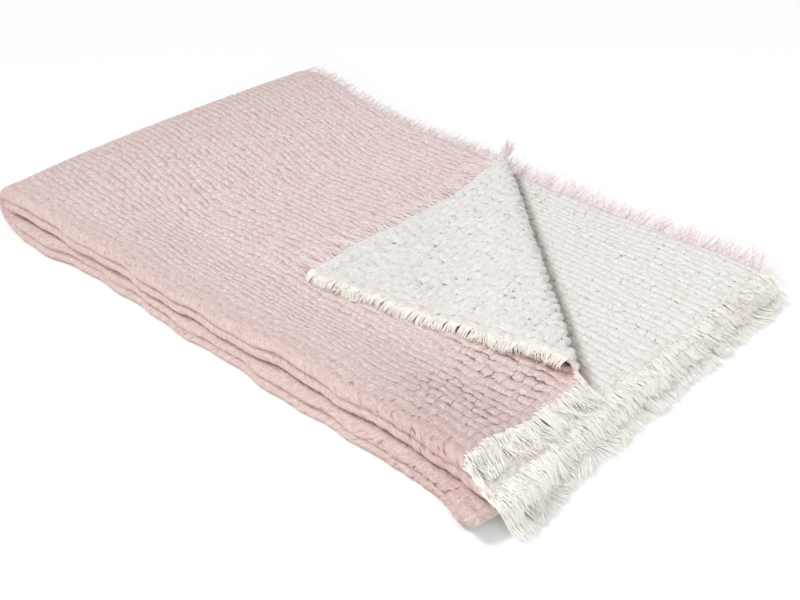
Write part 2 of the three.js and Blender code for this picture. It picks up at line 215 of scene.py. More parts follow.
class FoldedSheet:
    """Where each point of the flat cloth lies once both folds are made and the corner is turned.

    across runs over the width from the long fold, positive in the outer layers; along runs from
    the cross fold, positive in the upper half.
    """

    def __init__(self, width, length):
        self.half_width = width / 2
        self.half_length = length / 2
        run = CORNER_FOOT - CORNER_HEAD
        self.crease_across = np.array([-run[1], run[0]]) / np.hypot(*run)

    def fold_twice(self, across, along):
        run = along - CROSS_FOLD_SHIFT
        outer, inner = stack_heights(np.abs(run), 0 * across)
        bend_radius = (outer - inner) / 2
        turn = np.clip(across / bend_radius, -math.pi / 2, math.pi / 2)
        outward = (1 + np.sin(turn)) / 2
        outer, inner = stack_heights(0 * run, np.abs(across))
        end_radius = mix(inner, outer, outward)
        wrap = np.clip(run / end_radius, -math.pi / 2, math.pi / 2)
        x = END_RADIUS - end_radius * np.cos(wrap)
        x = x + np.maximum(0, np.abs(run) - end_radius * math.pi / 2)
        upper = (1 + np.sin(wrap)) / 2
        front = mix(eased_table(FRONT_LINE, "lower", x), eased_table(FRONT_LINE, "upper", x), upper)
        waves = sum(wave[0] * np.sin(x / wave[1] + wave[2] + wave[3] * upper) for wave in FRONT_WAVES)
        front = front + waves * fade(x, FRONT_WAVES_END)
        depth = eased_table(FRONT_LINE, "crease", x) + CREASE_WAVES * waves
        pressed = depth * np.exp(-((turn / CREASE_SPREAD) ** 2))
        y = bend_radius * (1 - np.cos(turn)) + np.maximum(0, np.abs(across) - bend_radius * math.pi / 2)
        y = y + front * fade(np.abs(across), FRONT_RISE) + pressed
        outer, inner = stack_heights(x, np.abs(across))
        z = outer + SEAT + mix(inner, outer, outward) * np.sin(wrap)
        return np.stack([x, y, z], -1)

    def on_top(self, across, along):
        return (across > 0) & (along > CROSS_FOLD_SHIFT)

    def past_crease(self, point):
        """How far a point, seen from above, lies past the corner's crease."""
        return (point[..., :2] - CORNER_HEAD) @ self.crease_across

    def ragged(self, across, along):
        """Flat places moved a little in and out near the edges, which are woven unevenly."""
        from_side = self.half_width - np.abs(across)
        from_end = self.half_length - np.abs(along)
        end = sum(wave[0] * np.sin(across / wave[1] + wave[2] + along) for wave in RAGGED)
        side = sum(wave[0] * np.sin(along / wave[1] + 2 * wave[2] + across) for wave in RAGGED)
        along = along + np.sign(along) * end * fade(from_end, (0, RAGGED_REACH))
        across = across + np.sign(across) * side * RAGGED_SIDE * fade(from_side, (0, RAGGED_REACH))
        return across, along

    def place(self, across, along):
        across, along = np.broadcast_arrays(np.asarray(across, float), np.asarray(along, float))
        across, along = self.ragged(across, along)
        point = self.fold_twice(across, along)
        beyond = self.past_crease(point)
        turned = self.on_top(across, along) & (beyond > 0)
        beyond = np.where(turned, beyond, 0)
        share = np.clip(point[..., 1] / self.half_width, 0, 1)
        radius = mix(CORNER_BEND["front"], CORNER_BEND["back"], share)
        turn = np.minimum(beyond / radius, math.pi)
        laid_back = np.maximum(0, beyond - radius * math.pi)
        shift = radius * np.sin(turn) - laid_back - beyond
        from_tip = np.hypot(self.half_width - across, self.half_length - along)
        pulled = 1 - ease(from_tip / CORNER_PULL["over"])
        x = point[..., 0] + shift * self.crease_across[0] + CORNER_PULL["x"] * pulled
        y = point[..., 1] + shift * self.crease_across[1] + CORNER_PULL["y"] * pulled
        under = 2 * stack_heights(x, y)[0] + SEAT
        settled = 1 - CORNER_SETTLE["share"] * ease(laid_back / CORNER_SETTLE["over"])
        z = under + radius * (1 - np.cos(turn)) * settled
        return np.where(turned[..., None], np.stack([x, y, z], -1), point) - ORIGIN

    def frame_at(self, across, along):
        """The middle of the cloth's thickness, and the unit normal of its white face."""
        step = 0.4 * MM
        over = self.place(across + step, along) - self.place(across - step, along)
        down = self.place(across, along + step) - self.place(across, along - step)
        normal = np.cross(over, down)
        normal /= np.linalg.norm(normal, axis=-1, keepdims=True)
        return self.place(across, along), normal

    def crossing(self, rising, high):
        """The value up to high at which a rising function passes zero."""
        low = 0.0
        close = 0.1 * MM
        while high - low > close:
            middle = (low + high) / 2
            low, high = (low, middle) if rising(middle) > 0 else (middle, high)
        return (low + high) / 2

    def crease_ends(self):
        """Where the corner's crease meets the end, across, and the long side, along."""

        def at(across, along):
            return self.past_crease(self.fold_twice(np.array(across), np.array(along)))

        foot = self.crossing(lambda across: at(across, self.half_length), self.half_width)
        head = self.crossing(lambda along: at(self.half_width, along), self.half_length)
        return foot, head

    def past_bend(self, crease_end):
        """Where an edge that the crease crosses askew comes out of the corner's bend."""
        return crease_end + math.pi * CORNER_BEND["back"] * math.sqrt(2)


def cell_sizes(sheet, face):
    """The widest cell, in units, that each unit cell of a face may be part of."""
    across = ((np.arange(GRID["across"]) + 0.5) / GRID["across"] * 2 - 1) * sheet.half_width
    along = ((np.arange(GRID["along"]) + 0.5) / GRID["along"] * 2 - 1) * sheet.half_length
    across, along = np.meshgrid(across, along, indexing="ij")
    flat = sheet.fold_twice(across, along)
    past = sheet.past_crease(flat)
    top = sheet.on_top(across, along)
    run = np.abs(along - CROSS_FOLD_SHIFT)
    size = np.full(across.shape, GRID["widest"])

    def finer(where, units):
        size[where] = np.minimum(size[where], units)

    finer(np.abs(across) < FINE["front"], 2)
    finer(run < FINE["end"], 4)
    finer(run < FINE["nose"], 2)
    finer(np.abs(across) > sheet.half_width - FINE["edge"], 2)
    finer(np.abs(along) > sheet.half_length - FINE["edge"], 2)
    if face == "pink":
        finer(top & (past < FINE_PINK["past"]), 1)
        finer((across > FINE_PINK["from"]) & (across < FINE_PINK["to"]), 1)
        finer((across > 0) & (run < FINE_PINK["nose"]), 1)
    else:
        finer(top & (past > FINE_WHITE["past"]), 1)
        finer((across < 0) & (along > 0) & (past > FINE_WHITE["under"]), 1)
    return size


def leaves(size):
    """Cells as rows of first unit across, first unit along and width in units."""
    found = []
    open_cells = np.ones(tuple(n // GRID["widest"] for n in size.shape), bool)
    width = GRID["widest"]
    while width:
        shape = (size.shape[0] // width, width, size.shape[1] // width, width)
        finest = size.reshape(shape).min(axis=(1, 3))
        whole = open_cells & (finest >= width)
        i, j = np.nonzero(whole)
        found.append(np.stack([i * width, j * width, np.full(len(i), width)], 1))
        open_cells = np.repeat(np.repeat(open_cells & ~whole, 2, 0), 2, 1)
        width //= 2
    return np.concatenate(found)


def used_corners(cells):
    """Marks the grid points that are a corner of some cell."""
    used = np.zeros((GRID["across"] + 1, GRID["along"] + 1), bool)
    i, j, width = cells.T
    for di in (0, 1):
        for dj in (0, 1):
            used[i + di * width, j + dj * width] = True
    return used


def outlines(cells, used):
    """Each cell's outline as grid points, with the corners of finer neighbours on its edges."""
    rows = []
    for i, j, width in cells.tolist():
        if width == 1:
            rows.append([(i, j), (i + 1, j), (i + 1, j + 1), (i, j + 1)])
            continue
        near = [(i + k, j) for k in range(width) if used[i + k, j]]
        right = [(i + width, j + k) for k in range(width) if used[i + width, j + k]]
        far = [(i + width - k, j + width) for k in range(width) if used[i + width - k, j + width]]
        left = [(i, j + width - k) for k in range(width) if used[i, j + width - k]]
        rows.append(near + right + far + left)
    return rows


def border_points(used):
    """The used grid points round the sheet's edge, in order."""
    last_i, last_j = GRID["across"], GRID["along"]
    near = [(i, 0) for i in range(last_i)]
    right = [(last_i, j) for j in range(last_j)]
    far = [(i, last_j) for i in range(last_i, 0, -1)]
    left = [(0, j) for j in range(last_j, 0, -1)]
    return [point for point in near + right + far + left if used[point]]


def sheet_thickness(sheet, across, along, settings):
    """Half the cloth's thickness, less at its edges."""
    inside = np.minimum(sheet.half_width - np.abs(across), sheet.half_length - np.abs(along))
    return mix(settings.edge_thickness, settings.thickness, ease(inside / EDGE_THINNING)) / 2


def pucker_strength(sheet, across, along):
    """How high the puckers stand, as a share: higher by the fringe and by the corner's crease."""
    fold, end, crease, turned, edge = RELIEF.values()
    from_end = sheet.half_length - np.abs(along)
    past = sheet.past_crease(sheet.fold_twice(across, along))
    from_crease = (past - crease["place"]) / crease["width"]
    inside = np.minimum(sheet.half_width - np.abs(across), from_end)
    height = mix(1, fold["share"], fade(np.abs(across), fold["reach"]))
    height = height * (end["least"] + end["more"] * fade(from_end, end["reach"]))
    height = height * (1 + crease["more"] * (along > 0) * np.exp(-(from_crease**2)))
    laid_back = sheet.on_top(across, along) * ease(past / turned["over"])
    height = height * mix(1, turned["share"], laid_back)
    return height * mix(edge["share"], 1, ease(inside / edge["over"]))


def pucker_cells(sheet, across, along, settings):
    """Flat places counted in puckers: long ones amid the cloth, short ones towards its ends."""
    longest, shortest = settings.pucker_length, settings.pucker_length_end
    start, stop = (share * sheet.half_length for share in PUCKERS_SHORTEN)
    steps = np.linspace(0, sheet.half_length, 200)
    lengths = mix(longest, shortest, ease((steps - start) / (stop - start)))
    counted = np.concatenate([[0], np.cumsum(np.diff(steps) / (lengths[1:] + lengths[:-1]) * 2)])
    count = np.interp(np.abs(along), steps, counted) * np.sign(along)
    return np.stack([across / settings.pucker_width, count], -1)


def hem_rows(sheet, along):
    """Rows of puckers counted from the cloth's ends."""
    return np.minimum((sheet.half_length - np.abs(along)) / HEM_ROW, HEM_COUNT)


def warmth(sheet, flat, places):
    """How much of the light between two pink faces warms the cloth, near its folds."""
    across, along, face = flat.T
    front, end, under = WARM.values()
    foot, _ = sheet.crease_ends()
    samples = np.linspace(foot, sheet.half_width, under["samples"])
    edge = sheet.place(samples, sheet.half_length)[:, :2]
    top = np.nonzero(sheet.on_top(across, along) & (face == 0))[0]
    apart = np.linalg.norm(places[top, None, :2] - edge[None], axis=2).min(1)
    by_front = front["share"] * fade(np.abs(across), front["reach"])
    by_end = end["share"] * fade(sheet.half_length - np.abs(along), end["reach"])
    warm = np.where(face == 0, by_front, by_end)
    warm[top] = np.maximum(warm[top], under["share"] * np.exp(-((apart / under["width"]) ** 2)))
    return warm


def shade(sheet, flat):
    """How much painted shade darkens the cloth: under the corner's crease and on its bend, and by the
    folds and ends.
    """
    across, along, face = flat.T
    under, bend, end, fold, front = PAINTED_SHADE.values()
    past = sheet.past_crease(sheet.fold_twice(across, along))
    radius = mix(CORNER_BEND["front"], CORNER_BEND["back"], 0.5)
    white = fade(np.abs(past - under["past"]), under["reach"]) * (across < 0)
    white = white + fade(past / radius, bend["reach"]) * (past > 0) * (across > 0)
    by_end = end["share"] * fade(sheet.half_length - np.abs(along), end["reach"])
    by_end = by_end * fade(np.abs(across), end["across"])
    by_fold = fold["share"] * fade(np.abs(along), fold["reach"])
    by_front = front["share"] * fade(np.abs(across), front["reach"])
    pink = np.maximum(np.maximum(by_end, by_fold), by_front)
    return mix(pink, white * (along > 0), face)


def set_attribute(mesh, name, kind, values):
    attribute = mesh.attributes.new(name, kind, "POINT")
    field = "vector" if kind == "FLOAT_VECTOR" else "value"
    attribute.data.foreach_set(field, np.asarray(values, np.float32).ravel())


def cloth_mesh(sheet, settings):
    """Both faces of the cloth and the rim between them, as one closed mesh without its puckers."""
    cells = {face: leaves(cell_sizes(sheet, face)) for face in FACES}
    used = {face: used_corners(cells[face]) for face in FACES}
    edge = np.zeros_like(used["pink"])
    edge[[0, -1], :] = edge[:, [0, -1]] = True
    shared = edge & (used["pink"] | used["white"])
    faces, slots = [], []
    parts = {"flat": [], "lift": [], "place": [], "cells": [], "hem": [], "depth": []}
    numbers = {}
    start = 0
    for face, facts in FACES.items():
        used[face] |= shared
        i, j = np.nonzero(used[face])
        numbers[face] = np.full(used[face].shape, -1)
        numbers[face][i, j] = start + np.arange(len(i))
        start += len(i)
        across = (i / GRID["across"] * 2 - 1) * sheet.half_width
        along = (j / GRID["along"] * 2 - 1) * sheet.half_length
        middle, normal = sheet.frame_at(across, along)
        outward = normal * facts["side"]
        half = sheet_thickness(sheet, across, along, settings)
        strength = pucker_strength(sheet, across, along) * settings.pucker_height * facts["puff"]
        parts["place"].append(middle + outward * (half - strength / 2)[:, None])
        parts["lift"].append(outward * strength[:, None])
        parts["flat"].append(np.stack([across, along, np.full(len(i), facts["column"])], -1))
        counted = pucker_cells(sheet, across, along, settings)
        parts["cells"].append(np.column_stack([counted, np.full(len(i), facts["column"])]))
        parts["hem"].append(hem_rows(sheet, along))
        # The pucker depth also sets how strongly the valleys are painted in shade
        parts["depth"].append(strength / settings.pucker_height)
        rows = outlines(cells[face], used[face])
        order = 1 if facts["side"] > 0 else -1
        faces += [[int(numbers[face][point]) for point in row[::order]] for row in rows]
        slots += [facts["slot"]] * len(rows)
    rim = border_points(shared)
    for here, after in zip(rim, rim[1:] + rim[:1]):
        white, pink = numbers["white"], numbers["pink"]
        faces.append([int(n) for n in (white[after], white[here], pink[here], pink[after])])
        slots.append(FACES["white"]["slot"])
    mesh = bpy.data.meshes.new(CLOTH_NAME)
    joined = {name: np.concatenate(values) for name, values in parts.items()}
    # Painted warm light by the folds and ends, and painted shade under the corner's crease and by the
    # folds and ends
    joined["warm"] = warmth(sheet, joined["flat"], joined["place"])
    joined["shade"] = shade(sheet, joined["flat"])
    mesh.from_pydata(joined["place"].tolist(), [], faces)
    mesh.polygons.foreach_set("material_index", slots)
    for name in ("flat", "lift", "cells"):
        set_attribute(mesh, name, "FLOAT_VECTOR", joined[name])
    for name in ("hem", "depth", "warm", "shade"):
        set_attribute(mesh, name, "FLOAT", joined[name])
    add_bake_map(mesh, joined["flat"], sheet)
    return mesh


def add_bake_map(mesh, flat, sheet):
    """Lays the two faces of the cloth side by side in the unit square, for baking."""
    margin = 0.01
    share = flat[:, :2] / (2 * np.array([sheet.half_width, sheet.half_length])) + 0.5
    share = margin + share * (1 - 2 * margin)
    share[:, 0] = (share[:, 0] + flat[:, 2]) / 2
    corners = np.empty(len(mesh.loops), np.int32)
    mesh.loops.foreach_get("vertex_index", corners)
    layer = mesh.uv_layers.new(name=BAKE_MAP)
    layer.uv.foreach_set("vector", share[corners].astype(np.float32).ravel())


class NodeSheet:
    """Adds nodes to a tree. A value is a number, a tuple or another node's output."""

    MIX_SOCKETS = {"FLOAT": (2, 3, 0), "VECTOR": (4, 5, 1), "RGBA": (6, 7, 2)}

    def __init__(self, tree):
        self.tree = tree

    def put(self, socket, value):
        if isinstance(value, bpy.types.NodeSocket):
            self.tree.links.new(value, socket)
        else:
            socket.default_value = value

    def node(self, kind, values=None, **settings):
        made = self.tree.nodes.new(kind)
        for name, value in settings.items():
            setattr(made, name, value)
        for name, value in (values or {}).items():
            self.put(made.inputs[name], value)
        return made

    def math(self, operation, *values, clamp=False):
        values = dict(enumerate(values))
        made = self.node("ShaderNodeMath", values, operation=operation, use_clamp=clamp)
        return made.outputs[0]

    def vector(self, operation, *values):
        made = self.node("ShaderNodeVectorMath", dict(enumerate(values)), operation=operation)
        return made.outputs[0]

    def mix(self, kind, share, low, high):
        low_socket, high_socket, out = self.MIX_SOCKETS[kind]
        made = self.node("ShaderNodeMix", data_type=kind)
        for index, value in ((0, share), (low_socket, low), (high_socket, high)):
            self.put(made.inputs[index], value)
        return made.outputs[out]

    def noise(self, place, scale, detail=2.0, output="Fac"):
        values = {"Vector": place, "Scale": scale, "Detail": detail}
        return self.node("ShaderNodeTexNoise", values).outputs[output]

    def ramp(self, value, low, high, to_low=0.0, to_high=1.0):
        """Eases a value from one range to another, and holds it at their ends."""
        values = {"Value": value, "From Min": low, "From Max": high}
        values |= {"To Min": to_low, "To Max": to_high}
        return self.node("ShaderNodeMapRange", values, interpolation_type="SMOOTHSTEP").outputs[0]


# How often each drift and each patch changes, over a pucker's width, its length and the two faces
DRIFT = {"slow": (0.12, 0.11, 1.0), "quick": (0.8, 1.2, 1.0)}
PATCHES = (0.6, 0.9, 1.0)
# The valleys between rows: their half width, and their depth in the shallowest patches
ROW_VALLEY = {"width": 0.32, "shallow": 0.62}
# How far at most a row's puffs are shifted against the next row's, and how far they wobble
SHIFT = {"row": 9.0, "wobble": 1.3}
# The white face: the depth of its row valleys away from the valleys that part its puffs, how much
# deeper those are than on the pink face, and its share of cobbles
WHITE_FACE = {"rows": 0.72, "deeper": 0.15, "cobbles": 0.35}
# The lowest puff of a row, as a share of the highest
LOWEST_PUFF = 0.75

# The two kinds of puffs: how far their rows wander slowly and quickly, and the valleys that part
# the puffs of a row: half width, shallowest and deepest. There are fewer cobbles than puckers:
# this share of them over the width and the length
SMALL_PUFFS = {"waves": (2.8, 0.8), "cross": (0.17, 0.1, 0.8)}
COBBLES = {"size": (0.72, 0.85, 1.0), "waves": (2.0, 0.9), "cross": (0.2, 0.45, 1.0)}
# The rows from the end over which the cobbles give way to small puffs
COBBLE_ROWS = (8.0, 25.0)
# Over the front fold the puffs crumple: how finely, how much, and how many puckers' widths from it
CRUMPLE = {"size": (1.7, 2.6, 1.0), "share": 0.65, "reach": (1.5, 7.0)}
# The last rows run along the end: how often and how far they waver, their valleys' half width and
# lowest height, their share, and how many rows in from the end they fade
HEM = {
    "size": (0.5, 0.7, 1.0),
    "waver": 1.6,
    "valley": 0.3,
    "least": 0.15,
    "share": 0.7,
    "reach": (1.0, 2.8),
}


def puff_nodes(nodes, cells, kind):
    """Height of puffs in rows, and of the rows alone, between long wavy valleys."""

    def patches(scale):
        return nodes.noise(nodes.vector("MULTIPLY", cells, scale), 1.0, 1.0)

    width, shallow, deepest = kind["cross"]
    across, along, face = nodes.node("ShaderNodeSeparateXYZ", {0: cells}).outputs[:3]
    slow, quick = patches(DRIFT["slow"]), patches(DRIFT["quick"])
    far, near = kind["waves"]
    drift = nodes.math("ADD", nodes.math("MULTIPLY", slow, far), nodes.math("MULTIPLY", quick, near))
    counted = nodes.math("ADD", across, drift)
    row = nodes.math("FLOOR", counted)
    row_valley = nodes.ramp(nodes.math("PINGPONG", counted, 0.5), 0.0, ROW_VALLEY["width"], 1.0, 0.0)
    start = nodes.node("ShaderNodeTexWhiteNoise", {"W": row}, noise_dimensions="1D").outputs["Value"]
    shifted = nodes.math("ADD", along, nodes.math("MULTIPLY", start, SHIFT["row"]))
    shifted = nodes.math("ADD", shifted, nodes.math("MULTIPLY", quick, SHIFT["wobble"]))
    cross_valley = nodes.ramp(nodes.math("PINGPONG", shifted, 0.5), 0.0, width, 1.0, 0.0)
    number = {0: row, 1: nodes.math("FLOOR", shifted), 2: face}
    number = nodes.node("ShaderNodeCombineXYZ", number).outputs[0]
    chance = nodes.node("ShaderNodeTexWhiteNoise", {"Vector": number}, noise_dimensions="3D")
    chance = chance.outputs["Value"]
    uneven = nodes.ramp(patches(PATCHES), 0.36, 0.6, ROW_VALLEY["shallow"], 1.0)
    dashes = nodes.mix("FLOAT", cross_valley, WHITE_FACE["rows"], 1.0)
    uneven = nodes.mix("FLOAT", face, uneven, nodes.math("MULTIPLY", uneven, dashes))
    deep = nodes.ramp(chance, 0.2, 0.95, shallow, deepest)
    deep = nodes.math("ADD", deep, nodes.math("MULTIPLY", face, WHITE_FACE["deeper"]), clamp=True)
    row_puff = nodes.math("SUBTRACT", 1.0, nodes.math("MULTIPLY", row_valley, uneven))
    cross_puff = nodes.math("SUBTRACT", 1.0, nodes.math("MULTIPLY", cross_valley, deep))
    puff = nodes.math("MULTIPLY", row_puff, cross_puff)
    return nodes.math("MULTIPLY", puff, nodes.ramp(chance, 0.0, 1.0, LOWEST_PUFF, 1.0)), row_puff


def pucker_nodes(nodes, cells, hem):
    """Height of the puckers: nothing in the valleys between them and one on their crests.

    The puffs grow into cobbles towards the cloth's ends, where the last rows run the other way,
    and crumple over the front fold. The hem counts rows from the cloth's ends.
    """
    across, _, face = nodes.node("ShaderNodeSeparateXYZ", {0: cells}).outputs[:3]
    puff, _ = puff_nodes(nodes, cells, SMALL_PUFFS)
    cobble, row_puff = puff_nodes(nodes, nodes.vector("MULTIPLY", cells, COBBLES["size"]), COBBLES)
    most = nodes.mix("FLOAT", face, 1.0, WHITE_FACE["cobbles"])
    by_end = nodes.math("MULTIPLY", nodes.ramp(hem, *COBBLE_ROWS, 1.0, 0.0), most)
    puff = nodes.mix("FLOAT", by_end, puff, cobble)
    crumple = nodes.noise(nodes.vector("MULTIPLY", cells, CRUMPLE["size"]), 1.0, 2.0)
    crumple = nodes.ramp(crumple, 0.36, 0.62)
    by_front = nodes.ramp(nodes.math("ABSOLUTE", across), *CRUMPLE["reach"], CRUMPLE["share"], 0.0)
    puff = nodes.mix("FLOAT", by_front, puff, crumple)
    hem_wave = nodes.noise(nodes.vector("MULTIPLY", cells, HEM["size"]), 1.0, 1.0)
    hem_line = nodes.math("ADD", hem, nodes.math("MULTIPLY", hem_wave, HEM["waver"]))
    hem_puff = nodes.math("PINGPONG", hem_line, 0.5)
    hem_puff = nodes.ramp(hem_puff, 0.0, HEM["valley"], HEM["least"], 1.0)
    by_hem = nodes.ramp(hem, *HEM["reach"], HEM["share"], 0.0)
    low_row = nodes.mix("FLOAT", HEM["least"], row_puff, 1.0)
    return nodes.mix("FLOAT", by_hem, puff, nodes.math("MULTIPLY", hem_puff, low_row))


def keep_above_floor(mesh):
    """Presses flat what would reach below the surface that the cloth lies on."""
    places = np.empty(3 * len(mesh.vertices), np.float32)
    mesh.vertices.foreach_get("co", places)
    places[2::3] = np.maximum(places[2::3], 0)
    mesh.vertices.foreach_set("co", places)
    mesh.update()


def raise_puckers(cloth):
    """Lifts the cloth's faces by the height of their puckers, through geometry nodes."""
    tree = bpy.data.node_groups.new("Raise puckers", "GeometryNodeTree")
    tree.interface.new_socket("Cloth", in_out="INPUT", socket_type="NodeSocketGeometry")
    tree.interface.new_socket("Cloth", in_out="OUTPUT", socket_type="NodeSocketGeometry")
    nodes = NodeSheet(tree)

    def named(name, kind):
        made = nodes.node("GeometryNodeInputNamedAttribute", {"Name": name}, data_type=kind)
        return next(socket for socket in made.outputs if socket.enabled and socket.name == "Attribute")

    height = pucker_nodes(nodes, named("cells", "FLOAT_VECTOR"), named("hem", "FLOAT"))
    scaled = nodes.node("ShaderNodeVectorMath", {0: named("lift", "FLOAT_VECTOR")}, operation="SCALE")
    nodes.put(scaled.inputs["Scale"], height)
    given = nodes.node("NodeGroupInput")
    lifted = nodes.node(
        "GeometryNodeSetPosition", {"Geometry": given.outputs[0], "Offset": scaled.outputs[0]}
    )
    nodes.node("NodeGroupOutput", {0: lifted.outputs[0]})
    modifier = cloth.modifiers.new("Puckers", "NODES")
    modifier.node_group = tree
    bpy.context.view_layer.update()
    depsgraph = bpy.context.evaluated_depsgraph_get()
    finished = cloth.evaluated_get(depsgraph)
    mesh = bpy.data.meshes.new_from_object(
        finished, preserve_all_data_layers=True, depsgraph=depsgraph
    )
    cloth.modifiers.clear()
    cloth.data = mesh
    mesh.name = CLOTH_NAME
    keep_above_floor(mesh)
    mesh.shade_smooth()


def shader_group(name, inputs, outputs):
    """An empty group of shader nodes, with its input and output nodes."""
    group = bpy.data.node_groups.new(name, "ShaderNodeTree")
    for label, kind in inputs.items():
        group.interface.new_socket(label, in_out="INPUT", socket_type=kind)
    for label, kind in outputs.items():
        group.interface.new_socket(label, in_out="OUTPUT", socket_type=kind)
    nodes = NodeSheet(group)
    return group, nodes, nodes.node("NodeGroupInput").outputs, nodes.node("NodeGroupOutput").inputs


def pucker_group():
    """The puckers' height, as a group for the materials."""
    name = "Puckers"
    if name in bpy.data.node_groups:
        return bpy.data.node_groups[name]
    group, nodes, given, out = shader_group(
        name, {"Cells": "NodeSocketVector", "Hem": "NodeSocketFloat"}, {"Height": "NodeSocketFloat"}
    )
    nodes.put(out["Height"], pucker_nodes(nodes, given["Cells"], given["Hem"]))
    return group


# The weave's yarns drift by this much, this often in a metre, and their streaks are long and thin
WEAVE = {"drift": 0.0012, "drifts": 90.0, "streak": (560.0, 110.0)}
# How the cotton's flecks, greyer yarns and warm blushes are spread: how often in a metre, in how
# much detail, between which values of the noise, and their largest share. Then how high its fine
# crumple is, up to which height the valleys are painted in shade, and how the painted shade under the
# crease and by the folds and ends fades on crests
COTTON = {
    "flecks": {"from": 0.4, "to": 0.6},
    "grey": {"scale": 210.0, "detail": 3.0, "from": 0.5, "to": 0.72, "share": 0.8},
    "blush": {"scale": 24.0, "detail": 5.0, "from": 0.45, "to": 0.75, "share": 0.35},
    "crumple": {"scale": 260.0, "detail": 2.0, "height": 0.3},
    "crest": 0.44,
    "painted_shade": {"from": 0.1, "to": 1.0, "least": 0.55},
}
# Cloth and yarns are matt
MATT = {"specular": 0.2, "sheen_roughness": 0.5}
# Their roughness in dark and light tones, their sheen, and the bump of the weave and the twist
COTTON_FINISH = {"rough": (0.98, 0.86), "sheen": 0.15, "bump": 0.35, "height": 0.25 * MM}
YARN_FINISH = {"rough": (0.95, 0.85), "sheen": 0.2, "bump": 0.25, "height": 0.12 * MM}
# The bump of the puckers on the cloth: its strength, and its share of the puckers' height
PUCKER_BUMP = {"strength": 0.8, "share": 0.6}
# A loose yarn's colour comes from its own tone and from its fibres, this often in a metre
FIBRE = {"tone": 0.7, "scale": 900.0}
# How far apart two yarns lie in the pattern of their fibres, so that each one has its own
YARNS_APART = 0.37


def weave_group():
    """A plain weave of uneven yarns: its height, and how dark or light its yarns are."""
    name = "Plain weave"
    if name in bpy.data.node_groups:
        return bpy.data.node_groups[name]
    group, nodes, given, out = shader_group(
        name,
        {"Flat": "NodeSocketVector", "Yarns per metre": "NodeSocketFloat"},
        {"Height": "NodeSocketFloat", "Tone": "NodeSocketFloat"},
    )
    flat = given["Flat"]
    drift = nodes.vector("SCALE", nodes.noise(flat, WEAVE["drifts"], 1.0, "Color"))
    drift.node.inputs["Scale"].default_value = WEAVE["drift"]
    drifted = nodes.vector("ADD", flat, drift)
    scaled = nodes.node("ShaderNodeVectorMath", {0: drifted}, operation="SCALE")
    nodes.put(scaled.inputs["Scale"], nodes.math("MULTIPLY", given["Yarns per metre"], math.pi))
    parts = nodes.node("ShaderNodeSeparateXYZ", {0: scaled.outputs[0]}).outputs
    warp = nodes.math("SINE", parts[0])
    weft = nodes.math("SINE", parts[1])
    crossing = nodes.math("MULTIPLY", warp, weft)
    nodes.put(out["Height"], nodes.math("ABSOLUTE", crossing))
    fine, coarse = WEAVE["streak"]
    streaks_along = nodes.noise(nodes.vector("MULTIPLY", flat, (fine, coarse, 1.0)), 1.0, 2.0)
    streaks_across = nodes.noise(nodes.vector("MULTIPLY", flat, (coarse, fine, 1.0)), 1.0, 2.0)
    both = nodes.math("ADD", streaks_along, streaks_across)
    nodes.put(out["Tone"], nodes.math("MULTIPLY", both, 0.5))
    return group


def principled(name):
    """A new material with its node sheet, its shader and its output linked."""
    material = bpy.data.materials.new(name)
    material.use_nodes = True
    material.node_tree.nodes.clear()
    nodes = NodeSheet(material.node_tree)
    shader = nodes.node("ShaderNodeBsdfPrincipled")
    nodes.node("ShaderNodeOutputMaterial", {"Surface": shader.outputs[0]})
    return material, nodes, shader.inputs


def attribute(nodes, name, output):
    return nodes.node("ShaderNodeAttribute", attribute_name=name).outputs[output]


def make_matt(shader, sheen):
    """Little shine, and the soft sheen of cotton."""
    shader["Specular IOR Level"].default_value = MATT["specular"]
    shader["Sheen Weight"].default_value = sheen
    shader["Sheen Roughness"].default_value = MATT["sheen_roughness"]


